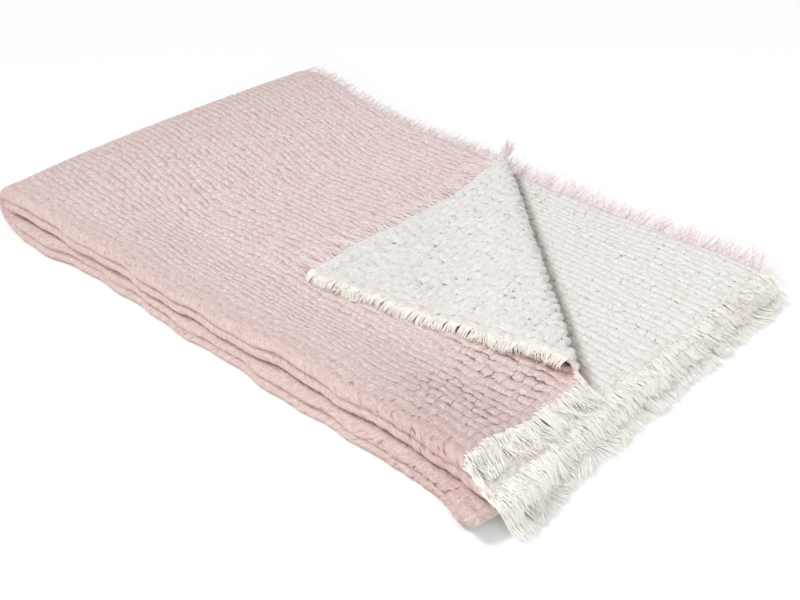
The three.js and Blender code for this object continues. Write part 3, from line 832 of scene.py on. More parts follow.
def cotton_material(name, colours, settings):
    """The crinkled double weave: flecked yarns, painted shade in the valleys and under the crease,
    painted warm light by the folds, and a soft sheen.
    """
    material, nodes, shader = principled(name)
    flat = attribute(nodes, "flat", "Vector")

    def patches(kind):
        spots = nodes.noise(flat, kind["scale"], kind["detail"])
        return nodes.ramp(spots, kind["from"], kind["to"], 0.0, kind["share"])

    weave = nodes.node("ShaderNodeGroup", node_tree=weave_group())
    nodes.put(weave.inputs["Flat"], flat)
    weave.inputs["Yarns per metre"].default_value = settings.yarns_per_metre
    puckers = nodes.node("ShaderNodeGroup", node_tree=pucker_group())
    nodes.put(puckers.inputs["Cells"], attribute(nodes, "cells", "Vector"))
    nodes.put(puckers.inputs["Hem"], attribute(nodes, "hem", "Fac"))
    height = puckers.outputs["Height"]
    base, light, grey, warm, deep = ((*one, 1) for one in colours)
    flecks = nodes.ramp(weave.outputs["Tone"], COTTON["flecks"]["from"], COTTON["flecks"]["to"])
    yarns = nodes.mix("RGBA", flecks, base, light)
    yarns = nodes.mix("RGBA", patches(COTTON["grey"]), yarns, grey)
    # Painted warm light by the folds, the ends and under the corner's free edge, added to the random
    # warm blushes
    tint = nodes.math("ADD", patches(COTTON["blush"]), attribute(nodes, "warm", "Fac"), clamp=True)
    yarns = nodes.mix("RGBA", tint, yarns, warm)
    crumple = nodes.noise(flat, COTTON["crumple"]["scale"], COTTON["crumple"]["detail"])
    crumple = nodes.math("MULTIPLY", crumple, COTTON["crumple"]["height"])
    height = nodes.math("ADD", height, crumple)
    # Painted shade: the valleys between the puckers, and the cloth under the corner's crease and by the
    # folds and ends, are mixed towards the deep colour
    painted_shade_share = nodes.math("SUBTRACT", 1.0, nodes.ramp(height, 0.0, COTTON["crest"]))
    painted_shade_share = nodes.math("MULTIPLY", painted_shade_share, attribute(nodes, "depth", "Fac"), clamp=True)
    painted_shade = COTTON["painted_shade"]
    painted_shade = nodes.ramp(height, painted_shade["from"], painted_shade["to"], 1.0, painted_shade["least"])
    painted_shade = nodes.math("MULTIPLY", attribute(nodes, "shade", "Fac"), painted_shade)
    painted_shade_share = nodes.math("MAXIMUM", painted_shade_share, painted_shade)
    nodes.put(shader["Base Color"], nodes.mix("RGBA", painted_shade_share, yarns, deep))
    roughness = nodes.ramp(weave.outputs["Tone"], 0.3, 0.7, *COTTON_FINISH["rough"])
    nodes.put(shader["Roughness"], roughness)
    make_matt(shader, COTTON_FINISH["sheen"])
    woven = {"Height": weave.outputs["Height"], "Strength": COTTON_FINISH["bump"]}
    woven = nodes.node("ShaderNodeBump", woven)
    woven.inputs["Distance"].default_value = COTTON_FINISH["height"]
    puckered = {"Height": height, "Strength": PUCKER_BUMP["strength"], "Normal": woven.outputs[0]}
    puckered = nodes.node("ShaderNodeBump", puckered)
    puckered.inputs["Distance"].default_value = settings.pucker_height * PUCKER_BUMP["share"]
    nodes.put(shader["Normal"], puckered.outputs[0])
    return material


def yarn_material(name, deep, base):
    """Loose cotton yarn: twisted and fibrous, each one in its own tone between a shaded and a lit
    colour, with painted light on the yarns of high locks.
    """
    material, nodes, shader = principled(name)
    tone = attribute(nodes, "tone", "Fac")
    along = attribute(nodes, "yarn", "Vector")
    run = nodes.node("ShaderNodeSeparateXYZ", {0: along}).outputs[0]
    fibre = nodes.noise(along, FIBRE["scale"], 2.0)
    fibres = nodes.math("MULTIPLY", fibre, 1 - FIBRE["tone"])
    share = nodes.math("ADD", nodes.math("MULTIPLY", tone, FIBRE["tone"]), fibres)
    nodes.put(shader["Base Color"], nodes.mix("RGBA", share, (*deep, 1), (*base, 1)))
    twist = nodes.math("SINE", nodes.math("MULTIPLY", run, 2 * math.pi / YARN["twist"]))
    bump = nodes.node("ShaderNodeBump", {"Height": twist, "Strength": YARN_FINISH["bump"]})
    bump.inputs["Distance"].default_value = YARN_FINISH["height"]
    nodes.put(shader["Normal"], bump.outputs[0])
    nodes.put(shader["Roughness"], nodes.ramp(fibre, 0.3, 0.7, *YARN_FINISH["rough"]))
    make_matt(shader, YARN_FINISH["sheen"])
    return material


def yarns_mesh(name, paths, radius, tone):
    """Loose yarns, a little flattened, along their paths and finer at the tip, as one mesh."""
    sides = YARN["sides"]
    count, steps = paths.shape[:2]
    run = np.gradient(paths, axis=1)
    run /= np.linalg.norm(run, axis=2, keepdims=True) + 1e-12
    aside = np.cross(run, np.array([0.31, 0.17, 0.93]))
    aside /= np.linalg.norm(aside, axis=2, keepdims=True) + 1e-12
    upward = np.cross(aside, run)
    thin = radius * np.linspace(1, YARN["tip"], steps)
    turns = np.arange(sides) * 2 * math.pi / sides
    wide = YARN["wide"] * np.outer(thin, np.cos(turns))[..., None] * aside[:, :, None, :]
    high = YARN["high"] * np.outer(thin, np.sin(turns))[..., None] * upward[:, :, None, :]
    rings = paths[:, :, None, :] + wide + high
    ring = np.arange(sides)
    root = np.arange(count)[:, None] * steps * sides
    first = root[..., None] + np.arange(steps - 1)[:, None] * sides
    here, after = first + ring, first + (ring + 1) % sides
    walls = np.stack([here, here + sides, after + sides, after], -1).reshape(-1, 4)
    starts = root + ring
    ends = root + (steps - 1) * sides + ring[::-1]
    mesh = bpy.data.meshes.new(name)
    faces = walls.tolist() + starts.tolist() + ends.tolist()
    mesh.from_pydata(rings.reshape(-1, 3).tolist(), [], faces)
    step_lengths = np.linalg.norm(np.diff(paths, axis=1), axis=2)
    length = np.concatenate([np.zeros((count, 1)), np.cumsum(step_lengths, 1)], 1)
    apart = np.arange(count)[:, None] * YARNS_APART
    places = np.stack([length, np.broadcast_to(apart, length.shape)], -1)
    places = np.repeat(places.reshape(-1, 2), sides, 0)
    set_attribute(mesh, "yarn", "FLOAT_VECTOR", np.column_stack([places, np.zeros(len(places))]))
    set_attribute(mesh, "tone", "FLOAT", np.repeat(np.asarray(tone), steps * sides))
    mesh.shade_flat()
    return mesh


# The four ends that lie over each other, from the top layer down: signs across and along
ENDS = ((1, 1), (-1, 1), (-1, -1), (1, -1))

# How an end's yarns bend down: the steepest angle, the height over which they ease out of it, and
# the length over which they first bend
HANG = {"steepest": 1.1, "ease": 9 * MM, "bend": 12 * MM, "step": 2 * MM}
# A bunch of yarns is this thick and lies this clear over the one below it. It starts at a gap from
# the cloth, and near its root, over the strip, it lies on the sheet below
BUNCH = {"thickness": 3 * MM, "clear": 1.5 * MM, "strip": 5 * MM, "gap": 0.9 * MM}
SHEET_THICKNESS = 5 * MM
# How many routes are worked out over an end, and how far they run, in yarn lengths
ROUTES = {"samples": 130, "run": 1.3}
# What the fringes leave bare beside the long fold, the corner's crease and the cloth's corners
BARE = {"fold": 1 * MM, "crease": 5 * MM, "rim": 8 * MM, "bend": 24 * MM, "corner": 2 * MM}
# The lower half's yarns are tucked in over this much of its front fold
TUCKED = {"third": 42 * MM, "bottom": 58 * MM}
# The free edge of the turned-back corner: its yarns run out, and curl down to the cloth under it
RIM = {"length": 19 * MM, "out": 4 * MM, "radius": 8 * MM, "turn": 1.5}
# The least and most that one yarn takes of that run and of that curl's radius, and the shares of
# a yarn's lift and of the arch over the edge that are left there
RIM_SHARES = {"out": (0.4, 1.5), "radius": (0.7, 1.3), "lift": 0.7, "crown": 0.8}
# Yarns leave the top of the cloth up to this far inside its edge, arch over the edge, and start
# this deep within the cloth
ROOTS = {"inset": 7 * MM, "crown": 3.4 * MM, "crowns": (0.5, 1.2), "reach": 16 * MM}
ROOT_DEPTH = 2.5 * MM
# Locks of yarns: the least and most of their width, and how far their yarns gather or part
LOCKS = {"width": (0.3, 1.7), "gather": (-0.4, 0.25)}
# Over how many lock widths the locks' lean, bend and turn change, how much each lock differs from
# the next one, and how much of the wander they take aside and upward
WAVES = {"lean": 3.2, "bend": 2.2, "turn": 3.0, "own": 0.35, "aside": 0.6, "lift": 0.5}
# Each yarn's own ripple, its stray to the side, and how far its tip lies under or over its lock
STRAY = {
    "ripple": 0.4 * MM,
    "pace": (11 * MM, 19 * MM),
    "aside": 0.05,
    "tip": (-1.2 * MM, 2.2 * MM),
}
# The yarns' tone, from their shaded to their lit colour: in a flat lock, how much painted light a high
# lock adds, and each yarn's own scatter
YARN_TONE = {"flat": 0.45, "high": 0.35, "own": 0.2}
# How much the yarns' lengths differ, and their shortest and longest share
LENGTHS = {"end": (0.08, 0.7, 1.2), "side": (0.2, 0.4, 1.35), "rim": (0.16, 0.5, 1.4)}
# Locks of the side fringe and of the corner's free edge: width, steps along a yarn, and wander
SIDE_LOCKS = (9 * MM, 8, 5 * MM)
RIM_LOCKS = (14 * MM, 14, 7 * MM)
END_STEPS = 13
# Side yarns slant by about this angle and lift by this share, and a lean turns them by its share
SIDE_YARNS = {"slant": 0.28, "lean": 0.75, "lift": 0.6}
# The yarns lie this far over what is under them, in their radius
CLEARANCE = {"floor": 1.3, "cloth": 1.5}
# The side fringes: their side of the cloth, their length and pitch as shares, how far their tips
# rise, and how much nearer their lit colour their yarns are painted
SIDE_FRINGES = {
    "side_fringe_outer": {"side": 1, "length": 0.8, "pitch": 1, "rise": 0, "pale": 0},
    "side_fringe_inner": {"side": -1, "length": 1, "pitch": 1, "rise": 10 * MM, "pale": 0},
    "side_fringe_corner": {"side": 1, "length": 1.25, "pitch": 0.9, "rise": 0, "pale": 0.6},
    "side_fringe_tuft": {"side": 1, "length": 1, "pitch": 0.25, "rise": 0, "pale": 0.3},
}
# The tuft at the head of the corner's crease leans back and up
TUFT_LEAN = (-0.1, 0.8, 0.6)
# Added to the seed for the corner's free edge, and for the first side fringe
SEEDS = {"rim": 5, "sides": 20}


def top_surface(points):
    """Height of the top layer's pink face under points, without the turned-back corner."""
    places = points[..., :2] + ORIGIN[:2]
    return 2 * stack_heights(places[..., 0], places[..., 1])[0] + 2 * SEAT


def support_height(below, x, by_fold):
    """Height that yarns may not go under at x, over the yarns of the layer below."""
    if below is None:
        return np.full(x.shape, BUNCH["thickness"] / 2)
    route_x, route_z = below
    rows = np.arange(len(x))
    after = np.clip((route_x <= x[:, None]).sum(1), 1, route_x.shape[1] - 1)
    near, far = route_x[rows, after - 1], route_x[rows, after]
    share = np.clip((x - near) / (far - near), 0, 1)
    rise = BUNCH["thickness"] + BUNCH["clear"]
    height = mix(route_z[rows, after - 1], route_z[rows, after], share)
    height = height + rise * HANG["step"] / (far - near)
    height = np.where(x >= route_x[:, -1], route_z[:, -1] + rise, height)
    drop = (SHEET_THICKNESS - BUNCH["thickness"]) / 2
    on_strip = x < route_x[:, 0] + BUNCH["strip"]
    on_sheet = route_z[:, 0] + (drop + SHEET_THICKNESS + BUNCH["clear"]) * by_fold
    return np.where(on_strip, on_sheet, height)


def hang_routes(sheet, across, reach):
    """For each end, the x and z that its yarns pass through, as they bend down over each other."""
    steps = int(reach / HANG["step"]) + 3
    drop = (SHEET_THICKNESS - BUNCH["thickness"]) / 2
    routes = {}
    below = None
    for layer in (3, 2, 1, 0):
        side, half = ENDS[layer]
        root = sheet.place(side * across, half * sheet.half_length)
        x, z = np.empty((2, len(across), steps))
        x[:, 0] = root[:, 0] + BUNCH["gap"]
        z[:, 0] = np.maximum(BUNCH["thickness"] / 2, root[:, 2] - drop)
        by_fold = ease(across / FRONT_RISE[0])
        for k in range(1, steps):
            ahead = support_height(below, x[:, k - 1] + HANG["step"], by_fold)
            begun = min(1, k * HANG["step"] / HANG["bend"])
            drop_left = np.maximum(0, z[:, k - 1] - ahead)
            angle = HANG["steepest"] * np.tanh(drop_left / HANG["ease"]) * begun
            x[:, k] = x[:, k - 1] + HANG["step"] * np.cos(angle)
            least = support_height(below, x[:, k], by_fold)
            z[:, k] = np.maximum(least, z[:, k - 1] - HANG["step"] * np.sin(angle))
        routes[layer] = below = (x, z)
    return routes


def spread(rng, start, stop, pitch):
    """Uneven places between start and stop, about a pitch apart."""
    count = int((stop - start) / pitch)
    return np.sort(start + (np.arange(count) + rng.uniform(0, 1, count)) * (stop - start) / count)


def locks(rng, places, width):
    """The centre of each place's lock of yarns, the lock's number, and how many there may be."""
    total = int((places[-1] - places[0]) / width * 1.6) + 4
    borders = places[0] + np.cumsum(rng.uniform(*LOCKS["width"], total)) * width - width
    number = np.searchsorted(borders, places)
    number = np.clip(number, 1, total - 1)
    return (borders[number - 1] + borders[number]) / 2, number, total


def smooth_field(rng, places, width):
    """Random values that change smoothly over about a width."""
    count = int((places[-1] - places[0]) / width) + 3
    knots = rng.normal(0, 1, count)
    row = (places - places[0]) / width
    first = row.astype(int)
    return mix(knots[first], knots[first + 1], ease(row - first))[:, None]


def yarn_lengths(rng, places, length, kind):
    spread_by, least, most = LENGTHS[kind]
    return length * np.clip(rng.normal(1, spread_by, len(places)), least, most)


def yarn_shapes(rng, places, lengths, width, steps, wander):
    """Distances from the root along each yarn, its offsets aside and upward, and its tone.

    The yarns gather in wavy locks and fan out at their tips.
    """
    centre, number, total = locks(rng, places, width)
    share = np.linspace(0, 1, steps)[None, :]
    out = lengths[:, None] * share

    def each(draw, *limits):
        """A random value for each lock, for all its yarns."""
        return draw(*limits, total)[number][:, None]

    gather = each(rng.uniform, *LOCKS["gather"])
    lean = smooth_field(rng, places, WAVES["lean"] * width) + WAVES["own"] * each(rng.normal, 0, 1)
    bend = smooth_field(rng, places, WAVES["bend"] * width) + WAVES["own"] * each(rng.normal, 0, 1)
    turn = 2.5 * smooth_field(rng, places, WAVES["turn"] * width)
    puff = each(rng.uniform, 0, 1)
    aside = (centre - places)[:, None] * gather * np.sin(share * math.pi * 0.85)
    swing = lean * share**1.4 + bend * np.sin(share * 4.2 + turn) * share
    aside = aside + wander * WAVES["aside"] * swing
    own = rng.uniform(0, 2 * math.pi, (2, len(places), 1))
    turns = out / rng.uniform(*STRAY["pace"], (len(places), 1)) * 2 * math.pi
    ripple = STRAY["ripple"] * ease(share * 3)
    aside = aside + ripple * np.sin(turns + own[0])
    aside = aside + rng.normal(0, STRAY["aside"], (len(places), 1)) * lengths[:, None] * share**2
    lift = puff * WAVES["lift"] * wander * np.sin(share * math.pi * 0.9)
    lift = lift + rng.uniform(*STRAY["tip"], (len(places), 1)) * np.sqrt(share)
    lift = lift + ripple * 0.7 * np.sin(turns + own[1])
    # Painted light: yarns of high locks are painted nearer their lit colour
    tone = YARN_TONE["flat"] + YARN_TONE["high"] * puff[:, 0]
    tone = tone + rng.normal(0, YARN_TONE["own"], len(places))
    return out, aside, lift, np.clip(tone, 0, 1)


def end_yarns(sheet, routes, samples, layer, start, stop, settings, rng):
    """Paths of one end's yarns between two places across it."""
    places = spread(rng, start, stop, settings.end_pitch)
    lengths = yarn_lengths(rng, places, settings.end_length, "end")
    shape = settings.lock_width, END_STEPS, settings.wander
    out, aside, lift, tone = yarn_shapes(rng, places, lengths, *shape)
    route_x, route_z = routes[layer]
    spacing = samples[1] - samples[0]
    row = np.clip((places - samples[0]) / spacing, 0, len(samples) - 1.001)
    first = row.astype(int)[:, None]
    column = np.clip(out / HANG["step"], 0, route_x.shape[1] - 1.001)
    step = column.astype(int)

    def at(route):
        near = mix(route[first, step], route[first, step + 1], column - step)
        far = mix(route[first + 1, step], route[first + 1, step + 1], column - step)
        return mix(near, far, row[:, None] - first)

    side, half = ENDS[layer]
    root = sheet.place(side * places, half * sheet.half_length)
    inset = ROOTS["inset"] * rng.uniform(0, 1, (len(places), 1))
    near_root = fade(out, (0, ROOTS["reach"]))
    crown = ROOTS["crown"] * near_root * rng.uniform(*ROOTS["crowns"], (len(places), 1))
    x = at(route_x) - inset * near_root
    paths = np.stack([x, root[:, 1][:, None] + aside, at(route_z) + lift + crown], -1)
    paths[:, 0] = root - np.array([1, 0, 0]) * (ROOT_DEPTH + inset)
    paths[..., 2] = np.maximum(paths[..., 2], settings.yarn_radius * CLEARANCE["floor"])
    return paths, tone


def edge_yarns(sheet, start, stop, kind, settings, rng, lean=None):
    """Paths of yarns out of a long side, on in the plane of its edge or leaning one way."""
    side = kind["side"]
    length = settings.side_length * kind["length"]
    places = spread(rng, start, stop, settings.side_pitch * kind["pitch"])
    lengths = yarn_lengths(rng, places, length, "side")
    out, aside, lift, tone = yarn_shapes(rng, places, lengths, *SIDE_LOCKS)
    across = side * sheet.half_width
    root = sheet.place(across, places)
    outward = root - sheet.place(side * (sheet.half_width - 1 * MM), places)
    beside = sheet.place(across, places + 1 * MM) - sheet.place(across, places - 1 * MM)
    outward /= np.linalg.norm(outward, axis=1, keepdims=True)
    beside /= np.linalg.norm(beside, axis=1, keepdims=True)
    if lean is not None:
        outward = mix(outward, np.array(lean), SIDE_YARNS["lean"])
        outward /= np.linalg.norm(outward, axis=1, keepdims=True)
    slant = np.tan(rng.normal(0, SIDE_YARNS["slant"], len(places)))[:, None]
    paths = root[:, None] + outward[:, None] * out[..., None]
    paths = paths + beside[:, None] * (aside + slant * out)[..., None]
    share = out / length
    paths[..., 2] += lift * SIDE_YARNS["lift"] + kind["rise"] * share**1.3
    paths[:, 0] = root - outward * ROOT_DEPTH
    paths[..., 2] = np.maximum(paths[..., 2], settings.yarn_radius * CLEARANCE["floor"])
    return paths, mix(tone, 1, kind["pale"])


def rim_yarns(sheet, start, stop, settings, rng):
    """Paths of the yarns that curl down from the free edge of the turned-back corner."""
    places = spread(rng, start, stop, settings.end_pitch)
    lengths = yarn_lengths(rng, places, RIM["length"], "rim")
    out, aside, lift, tone = yarn_shapes(rng, places, lengths, *RIM_LOCKS)
    root = sheet.place(places, sheet.half_length)
    straight = RIM["out"] * rng.uniform(*RIM_SHARES["out"], (len(places), 1))
    radius = RIM["radius"] * rng.uniform(*RIM_SHARES["radius"], (len(places), 1))
    curl = np.clip((out - straight) / radius, 0, RIM["turn"])
    reach = np.minimum(out, straight) + radius * np.sin(curl)
    inset = ROOTS["inset"] * rng.uniform(0, 1, (len(places), 1))
    near_root = fade(out, (0, ROOTS["reach"]))
    x = root[:, 0][:, None] + aside
    y = root[:, 1][:, None] - reach + inset * near_root
    z = root[:, 2][:, None] - radius * (1 - np.cos(curl)) + lift * RIM_SHARES["lift"]
    z = z + RIM_SHARES["crown"] * ROOTS["crown"] * near_root
    paths = np.stack([x, y, z], -1)
    paths[..., 2] = np.maximum(paths[..., 2], top_surface(paths) + settings.yarn_radius)
    paths[:, 0] = root + np.array([0, 1, 0]) * (ROOT_DEPTH + inset)
    return paths, tone


def srgb(red, green, blue):
    """A screen colour of 0 to 255 as scene linear colour."""

    def linear(value):
        value /= 255
        return value / 12.92 if value <= 0.04045 else ((value + 0.055) / 1.055) ** 2.4

    return linear(red), linear(green), linear(blue)


def colour(name, description, default):
    return FloatVectorProperty(
        name=name, description=description, default=default, subtype="COLOR", size=3, min=0, max=1
    )


def length(name, description, default):
    return FloatProperty(
        name=name, description=description, default=default, unit="LENGTH", min=0, precision=4
    )


class ThrowClothSettings(bpy.types.PropertyGroup):
    """Sizes and colours of the cloth."""

    width: length("Width", "Width of the cloth laid flat, without its fringe", 1.29)
    length: length("Length", "Length of the cloth laid flat, without its fringe", 1.89)
    thickness: length("Thickness", "Thickness of the cloth between its puckers' crests", 0.005)
    edge_thickness: length("Edge thickness", "Thickness of the cloth at its edges", 0.0022)
    pucker_height: length("Pucker height", "Height of the puckers over the valleys", 0.0022)
    pucker_width: length("Pucker width", "Width of a pucker across the cloth", 0.0125)
    pucker_length: length("Pucker length", "Length of a pucker amid the cloth", 0.021)
    pucker_length_end: length("End pucker length", "Length of a pucker near the fringed ends", 0.016)
    yarns_per_metre: FloatProperty(
        name="Yarns per metre", description="Yarns of the weave in a metre", default=620, min=50
    )
    pink: colour("Pink yarn", "Pink face, most of its yarns", srgb(208, 187, 185))
    pink_light: colour("Pale pink yarn", "Pink face, its palest yarns", srgb(234, 219, 217))
    pink_grey: colour("Grey pink yarn", "Pink face, its greyer flecks", srgb(196, 176, 177))
    # The warm colour serves random warmer patches of yarn, and painted warm light by the front fold and
    # under the corner's free edge
    pink_warm: colour("Warm pink", "Pink face, its warmer patches and folds", srgb(218, 187, 179))
    # The valleys' colour is painted shade, also used under the corner's crease and by the folds and
    # ends
    pink_deep: colour("Pink valleys", "Pink face, between its puckers", srgb(149, 106, 102))
    white: colour("White yarn", "White face, most of its yarns", srgb(218, 216, 211))
    white_light: colour("Pale yarn", "White face, its palest yarns", srgb(235, 233, 229))
    white_grey: colour("Grey yarn", "White face, its greyer flecks", srgb(209, 206, 201))
    # The warm colour serves random warmer patches of yarn, and painted warm light at the fringed ends
    white_warm: colour("Warm white", "White face, its tinted ends", srgb(226, 211, 207))
    # The valleys' colour is painted shade, also used under the corner's crease and on its bend
    white_deep: colour("White valleys", "White face, between its puckers", srgb(152, 142, 131))


class ThrowFringeSettings(bpy.types.PropertyGroup):
    """Sizes and colours of the fringes."""

    end_length: length("End fringe", "Length of the yarns at the cloth's ends", 0.036)
    side_length: length("Side fringe", "Length of the yarns along the cloth's sides", 0.027)
    yarn_radius: length("Yarn radius", "Radius of one yarn", 0.0005)
    end_pitch: length("End yarn pitch", "Distance between the yarns at the ends", 0.00052)
    side_pitch: length("Side yarn pitch", "Distance between the yarns at the sides", 0.0015)
    lock_width: length("Lock width", "Width of the locks that the end yarns gather in", 0.018)
    wander: length("Wander", "How far the locks wander to their sides", 0.008)
    seed: IntProperty(name="Seed", description="Seed of the yarns' places and curls", default=7, min=0)
    white: colour("White yarn", "Yarns at the ends", srgb(252, 251, 247))
    white_deep: colour("White yarn, shaded", "Yarns deep in the end fringe", srgb(243, 236, 225))
    pink: colour("Pink yarn", "Yarns along the sides", srgb(250, 240, 238))
    pink_deep: colour("Pink yarn, shaded", "Deeper yarns along the sides", srgb(214, 188, 188))


class ThrowStageSettings(bpy.types.PropertyGroup):
    """The floor, the light and the camera."""

    floor: colour("Floor", "Colour of the floor", srgb(250, 250, 250))
    sky: FloatProperty(name="Sky", description="Strength of the even light", default=0.58, min=0)
    key: FloatProperty(
        name="Key light", description="Strength of the light from the left", default=1.25, min=0
    )
    fill: FloatProperty(
        name="Fill light",
        description="Power of the light from the camera's side",
        default=104,
        min=0,
        unit="POWER",
    )
    lens: FloatProperty(name="Lens", description="Focal length in millimetres", default=53.04, min=1)
    azimuth: FloatProperty(
        name="Azimuth", description="Camera's turn about the throw", default=0.7412, subtype="ANGLE"
    )
    elevation: FloatProperty(
        name="Elevation", description="Camera's height over the throw", default=0.5782, subtype="ANGLE"
    )
    distance: length("Distance", "From the camera to its target", 1.585835)


PINK_COTTON = "Pink crinkled cotton"
WHITE_COTTON = "White crinkled cotton"
WHITE_YARN = "White cotton yarn"
PINK_YARN = "Pink cotton yarn"


def add_piece(name, mesh, materials, node):
    """Links a finished piece to the scene: it rides with the throw and stands for its node."""
    piece = bpy.data.objects.new(name, mesh)
    bpy.context.scene.collection.objects.link(piece)
    for material in materials:
        mesh.materials.append(material)
    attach(piece, "root")
    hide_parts(node)
    return piece


def add_fringe(node, yarns, settings, material):
    """Adds one fringe of yarns, which stands for the node whose name it bears."""
    paths, tone = yarns
    mesh = yarns_mesh(f"{node}_yarns", paths, settings.yarn_radius, tone)
    return add_piece(mesh.name, mesh, [material], node)


def flat_sheet(context):
    cloth = context.scene.throw_cloth
    return FoldedSheet(cloth.width, cloth.length)


class THROW_OT_end_fringe(bpy.types.Operator):
    """Adds the white yarns at the four stacked ends and under the turned-back corner"""

    bl_idname = "throw.end_fringe"
    bl_label = "End fringe"

    def execute(self, context):
        settings = context.scene.throw_fringe
        sheet = flat_sheet(context)
        foot, _ = sheet.crease_ends()
        limit = sheet.half_width - BARE["corner"]
        samples = np.linspace(0, sheet.half_width, ROUTES["samples"])
        routes = hang_routes(sheet, samples, settings.end_length * ROUTES["run"])
        material = yarn_material(WHITE_YARN, settings.white_deep, settings.white)
        pieces = {
            "end_fringe_top": (0, BARE["fold"], foot + BARE["bend"]),
            "end_fringe_second": (1, BARE["fold"], limit),
            "end_fringe_third": (2, TUCKED["third"], limit),
            "end_fringe_bottom": (3, TUCKED["bottom"], limit),
        }
        for node, (layer, start, stop) in pieces.items():
            rng = np.random.default_rng(settings.seed + layer)
            yarns = end_yarns(sheet, routes, samples, layer, start, stop, settings, rng)
            add_fringe(node, yarns, settings, material)
        rng = np.random.default_rng(settings.seed + SEEDS["rim"])
        yarns = rim_yarns(sheet, sheet.past_bend(foot) - BARE["rim"], limit, settings, rng)
        add_fringe("end_fringe_corner", yarns, settings, material)
        return {"FINISHED"}


class THROW_OT_side_fringe(bpy.types.Operator):
    """Adds the sparse pink yarns along both long sides, and the tuft where the corner turns"""

    bl_idname = "throw.side_fringe"
    bl_label = "Side fringe"

    def execute(self, context):
        settings = context.scene.throw_fringe
        sheet = flat_sheet(context)
        _, head = sheet.crease_ends()
        bent = sheet.past_bend(head)
        limit = sheet.half_length - BARE["corner"]
        material = yarn_material(PINK_YARN, settings.pink_deep, settings.pink)
        stretches = {
            "side_fringe_outer": (-limit, head - BARE["crease"]),
            "side_fringe_inner": (-limit, limit),
            "side_fringe_corner": (bent + BARE["crease"], limit),
            "side_fringe_tuft": (head, bent),
        }
        for count, (node, kind) in enumerate(SIDE_FRINGES.items()):
            rng = np.random.default_rng(settings.seed + SEEDS["sides"] + count)
            lean = TUFT_LEAN if node == "side_fringe_tuft" else None
            paths, tone = edge_yarns(sheet, *stretches[node], kind, settings, rng, lean)
            if node == "side_fringe_corner":
                over = top_surface(paths) + CLEARANCE["cloth"] * settings.yarn_radius
                paths[..., 2] = np.maximum(paths[..., 2], over)
            add_fringe(node, (paths, tone), settings, material)
        return {"FINISHED"}


class THROW_OT_cloth(bpy.types.Operator):
    bl_idname = "throw.cloth"
    bl_label = "Cloth"

    def execute(self, context):
        settings = context.scene.throw_cloth
        sheet = flat_sheet(context)
        shades = ("", "_light", "_grey", "_warm", "_deep")
        pink = [getattr(settings, f"pink{shade}") for shade in shades]
        white = [getattr(settings, f"white{shade}") for shade in shades]
        materials = [
            cotton_material(PINK_COTTON, pink, settings),
            cotton_material(WHITE_COTTON, white, settings),
        ]
        mesh = cloth_mesh(sheet, settings)
        cloth = add_piece(CLOTH_NAME, mesh, materials, "cloth")
        raise_puckers(cloth)
        return {"FINISHED"}


# Where the lights stand, and how soft they are
KEY_LIGHT = {"place": (-2.6, -2.2, 4.8), "angle": math.radians(14)}
FILL_LIGHT = {"place": (3.0, -2.8, 3.0), "size": 4.5}
FLOOR = {"reach": 60.0, "roughness": 0.9}
# The camera's sensor in millimetres, and what it looks at, measured like the origin
SENSOR_WIDTH = 36
CAMERA_TARGET = Vector((0.62092, 0.235695, 0.0285)) - Vector(ORIGIN)


class THROW_OT_stage(bpy.types.Operator):
    """Adds the floor, the soft light and the camera"""

    bl_idname = "throw.stage"
    bl_label = "Stage"

    def execute(self, context):
        settings = context.scene.throw_stage
        scene = context.scene
        add_floor(settings)
        key = add_light("key", "SUN", KEY_LIGHT["place"], settings.key)
        key.angle = KEY_LIGHT["angle"]
        fill = add_light("fill", "AREA", FILL_LIGHT["place"], settings.fill)
        fill.shape = "DISK"
        fill.size = FILL_LIGHT["size"]
        world = bpy.data.worlds.new("Studio")
        world.use_nodes = True
        background = world.node_tree.nodes["Background"]
        background.inputs["Color"].default_value = (1, 1, 1, 1)
        background.inputs["Strength"].default_value = settings.sky
        scene.world = world
        scene.view_settings.view_transform = "Standard"
        add_camera(scene, settings)
        return {"FINISHED"}


def add_floor(settings):
    """A plain floor, wide enough to have no edge in any view."""
    mesh = bpy.data.meshes.new("floor")
    reach = FLOOR["reach"]
    corners = [(-reach, -reach, 0), (reach, -reach, 0), (reach, reach, 0), (-reach, reach, 0)]
    mesh.from_pydata(corners, [], [(0, 1, 2, 3)])
    material, _, shader = principled("Floor")
    shader["Base Color"].default_value = (*settings.floor, 1)
    shader["Roughness"].default_value = FLOOR["roughness"]
    mesh.materials.append(material)
    floor = bpy.data.objects.new("floor", mesh)
    bpy.context.scene.collection.objects.link(floor)


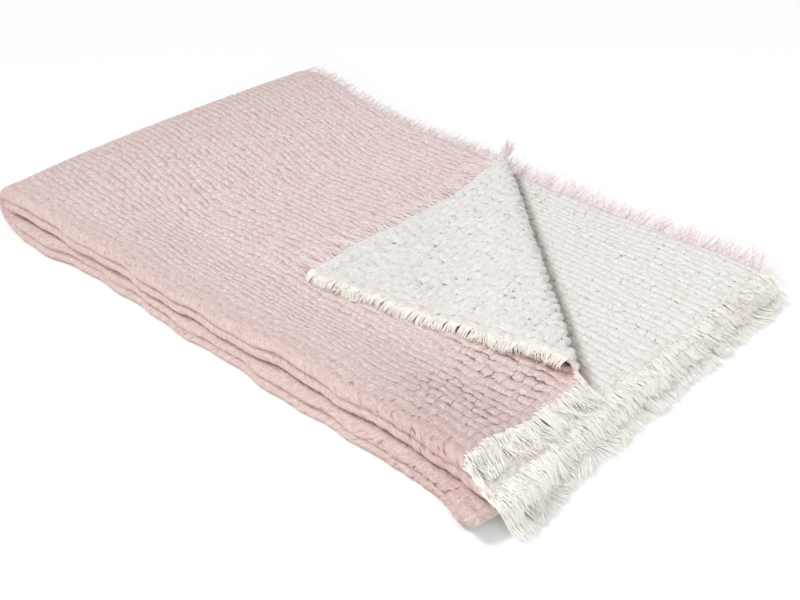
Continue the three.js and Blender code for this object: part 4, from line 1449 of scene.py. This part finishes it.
def add_light(name, kind, place, power):
    """A light aimed at the middle of the throw's box."""
    light = bpy.data.lights.new(name, kind)
    light.energy = power
    lamp = bpy.data.objects.new(name, light)
    lamp.matrix_world = looking(Vector(place), Vector((0, 0, 0)))
    bpy.context.scene.collection.objects.link(lamp)
    return light


def looking(place, target):
    """The matrix of a lamp or camera at a place, turned to a target."""
    return Matrix.Translation(place) @ (target - place).to_track_quat("-Z", "Y").to_matrix().to_4x4()


def add_camera(scene, settings):
    """The camera, at its turn, height and distance from the target."""
    turn, rise = settings.azimuth, settings.elevation
    back = Vector(
        (math.sin(turn) * math.cos(rise), -math.cos(turn) * math.cos(rise), math.sin(rise))
    )
    data = bpy.data.cameras.new("camera")
    data.lens = settings.lens
    data.sensor_width = SENSOR_WIDTH
    camera = bpy.data.objects.new("camera", data)
    camera.matrix_world = looking(CAMERA_TARGET + back * settings.distance, CAMERA_TARGET)
    scene.collection.objects.link(camera)
    scene.camera = camera


class THROW_PT_panel(bpy.types.Panel):
    """Lists the throw's pieces and their settings"""

    bl_idname = "THROW_PT_panel"
    bl_label = "Folded throw"
    bl_space_type = "VIEW_3D"
    bl_region_type = "UI"
    bl_category = "Throw"

    def draw(self, context):
        for operator in OPERATORS:
            self.layout.operator(operator.bl_idname)
        for name, kind in SETTINGS.items():
            box = self.layout.box()
            for prop in kind.__annotations__:
                box.prop(getattr(context.scene, name), prop)


OPERATORS = (THROW_OT_end_fringe, THROW_OT_side_fringe, THROW_OT_cloth, THROW_OT_stage)
SETTINGS = {
    "throw_cloth": ThrowClothSettings,
    "throw_fringe": ThrowFringeSettings,
    "throw_stage": ThrowStageSettings,
}


def register():
    for made in (*SETTINGS.values(), *OPERATORS, THROW_PT_panel):
        bpy.utils.register_class(made)
    for name, kind in SETTINGS.items():
        setattr(bpy.types.Scene, name, PointerProperty(type=kind))


def unregister():
    for name in SETTINGS:
        delattr(bpy.types.Scene, name)
    for made in (THROW_PT_panel, *OPERATORS, *SETTINGS.values()):
        bpy.utils.unregister_class(made)


def main():
    register()
    bpy.ops.throw.end_fringe()
    bpy.ops.throw.side_fringe()
    bpy.ops.throw.cloth()
    bpy.ops.throw.stage()


if __name__ == "__main__":
    main()
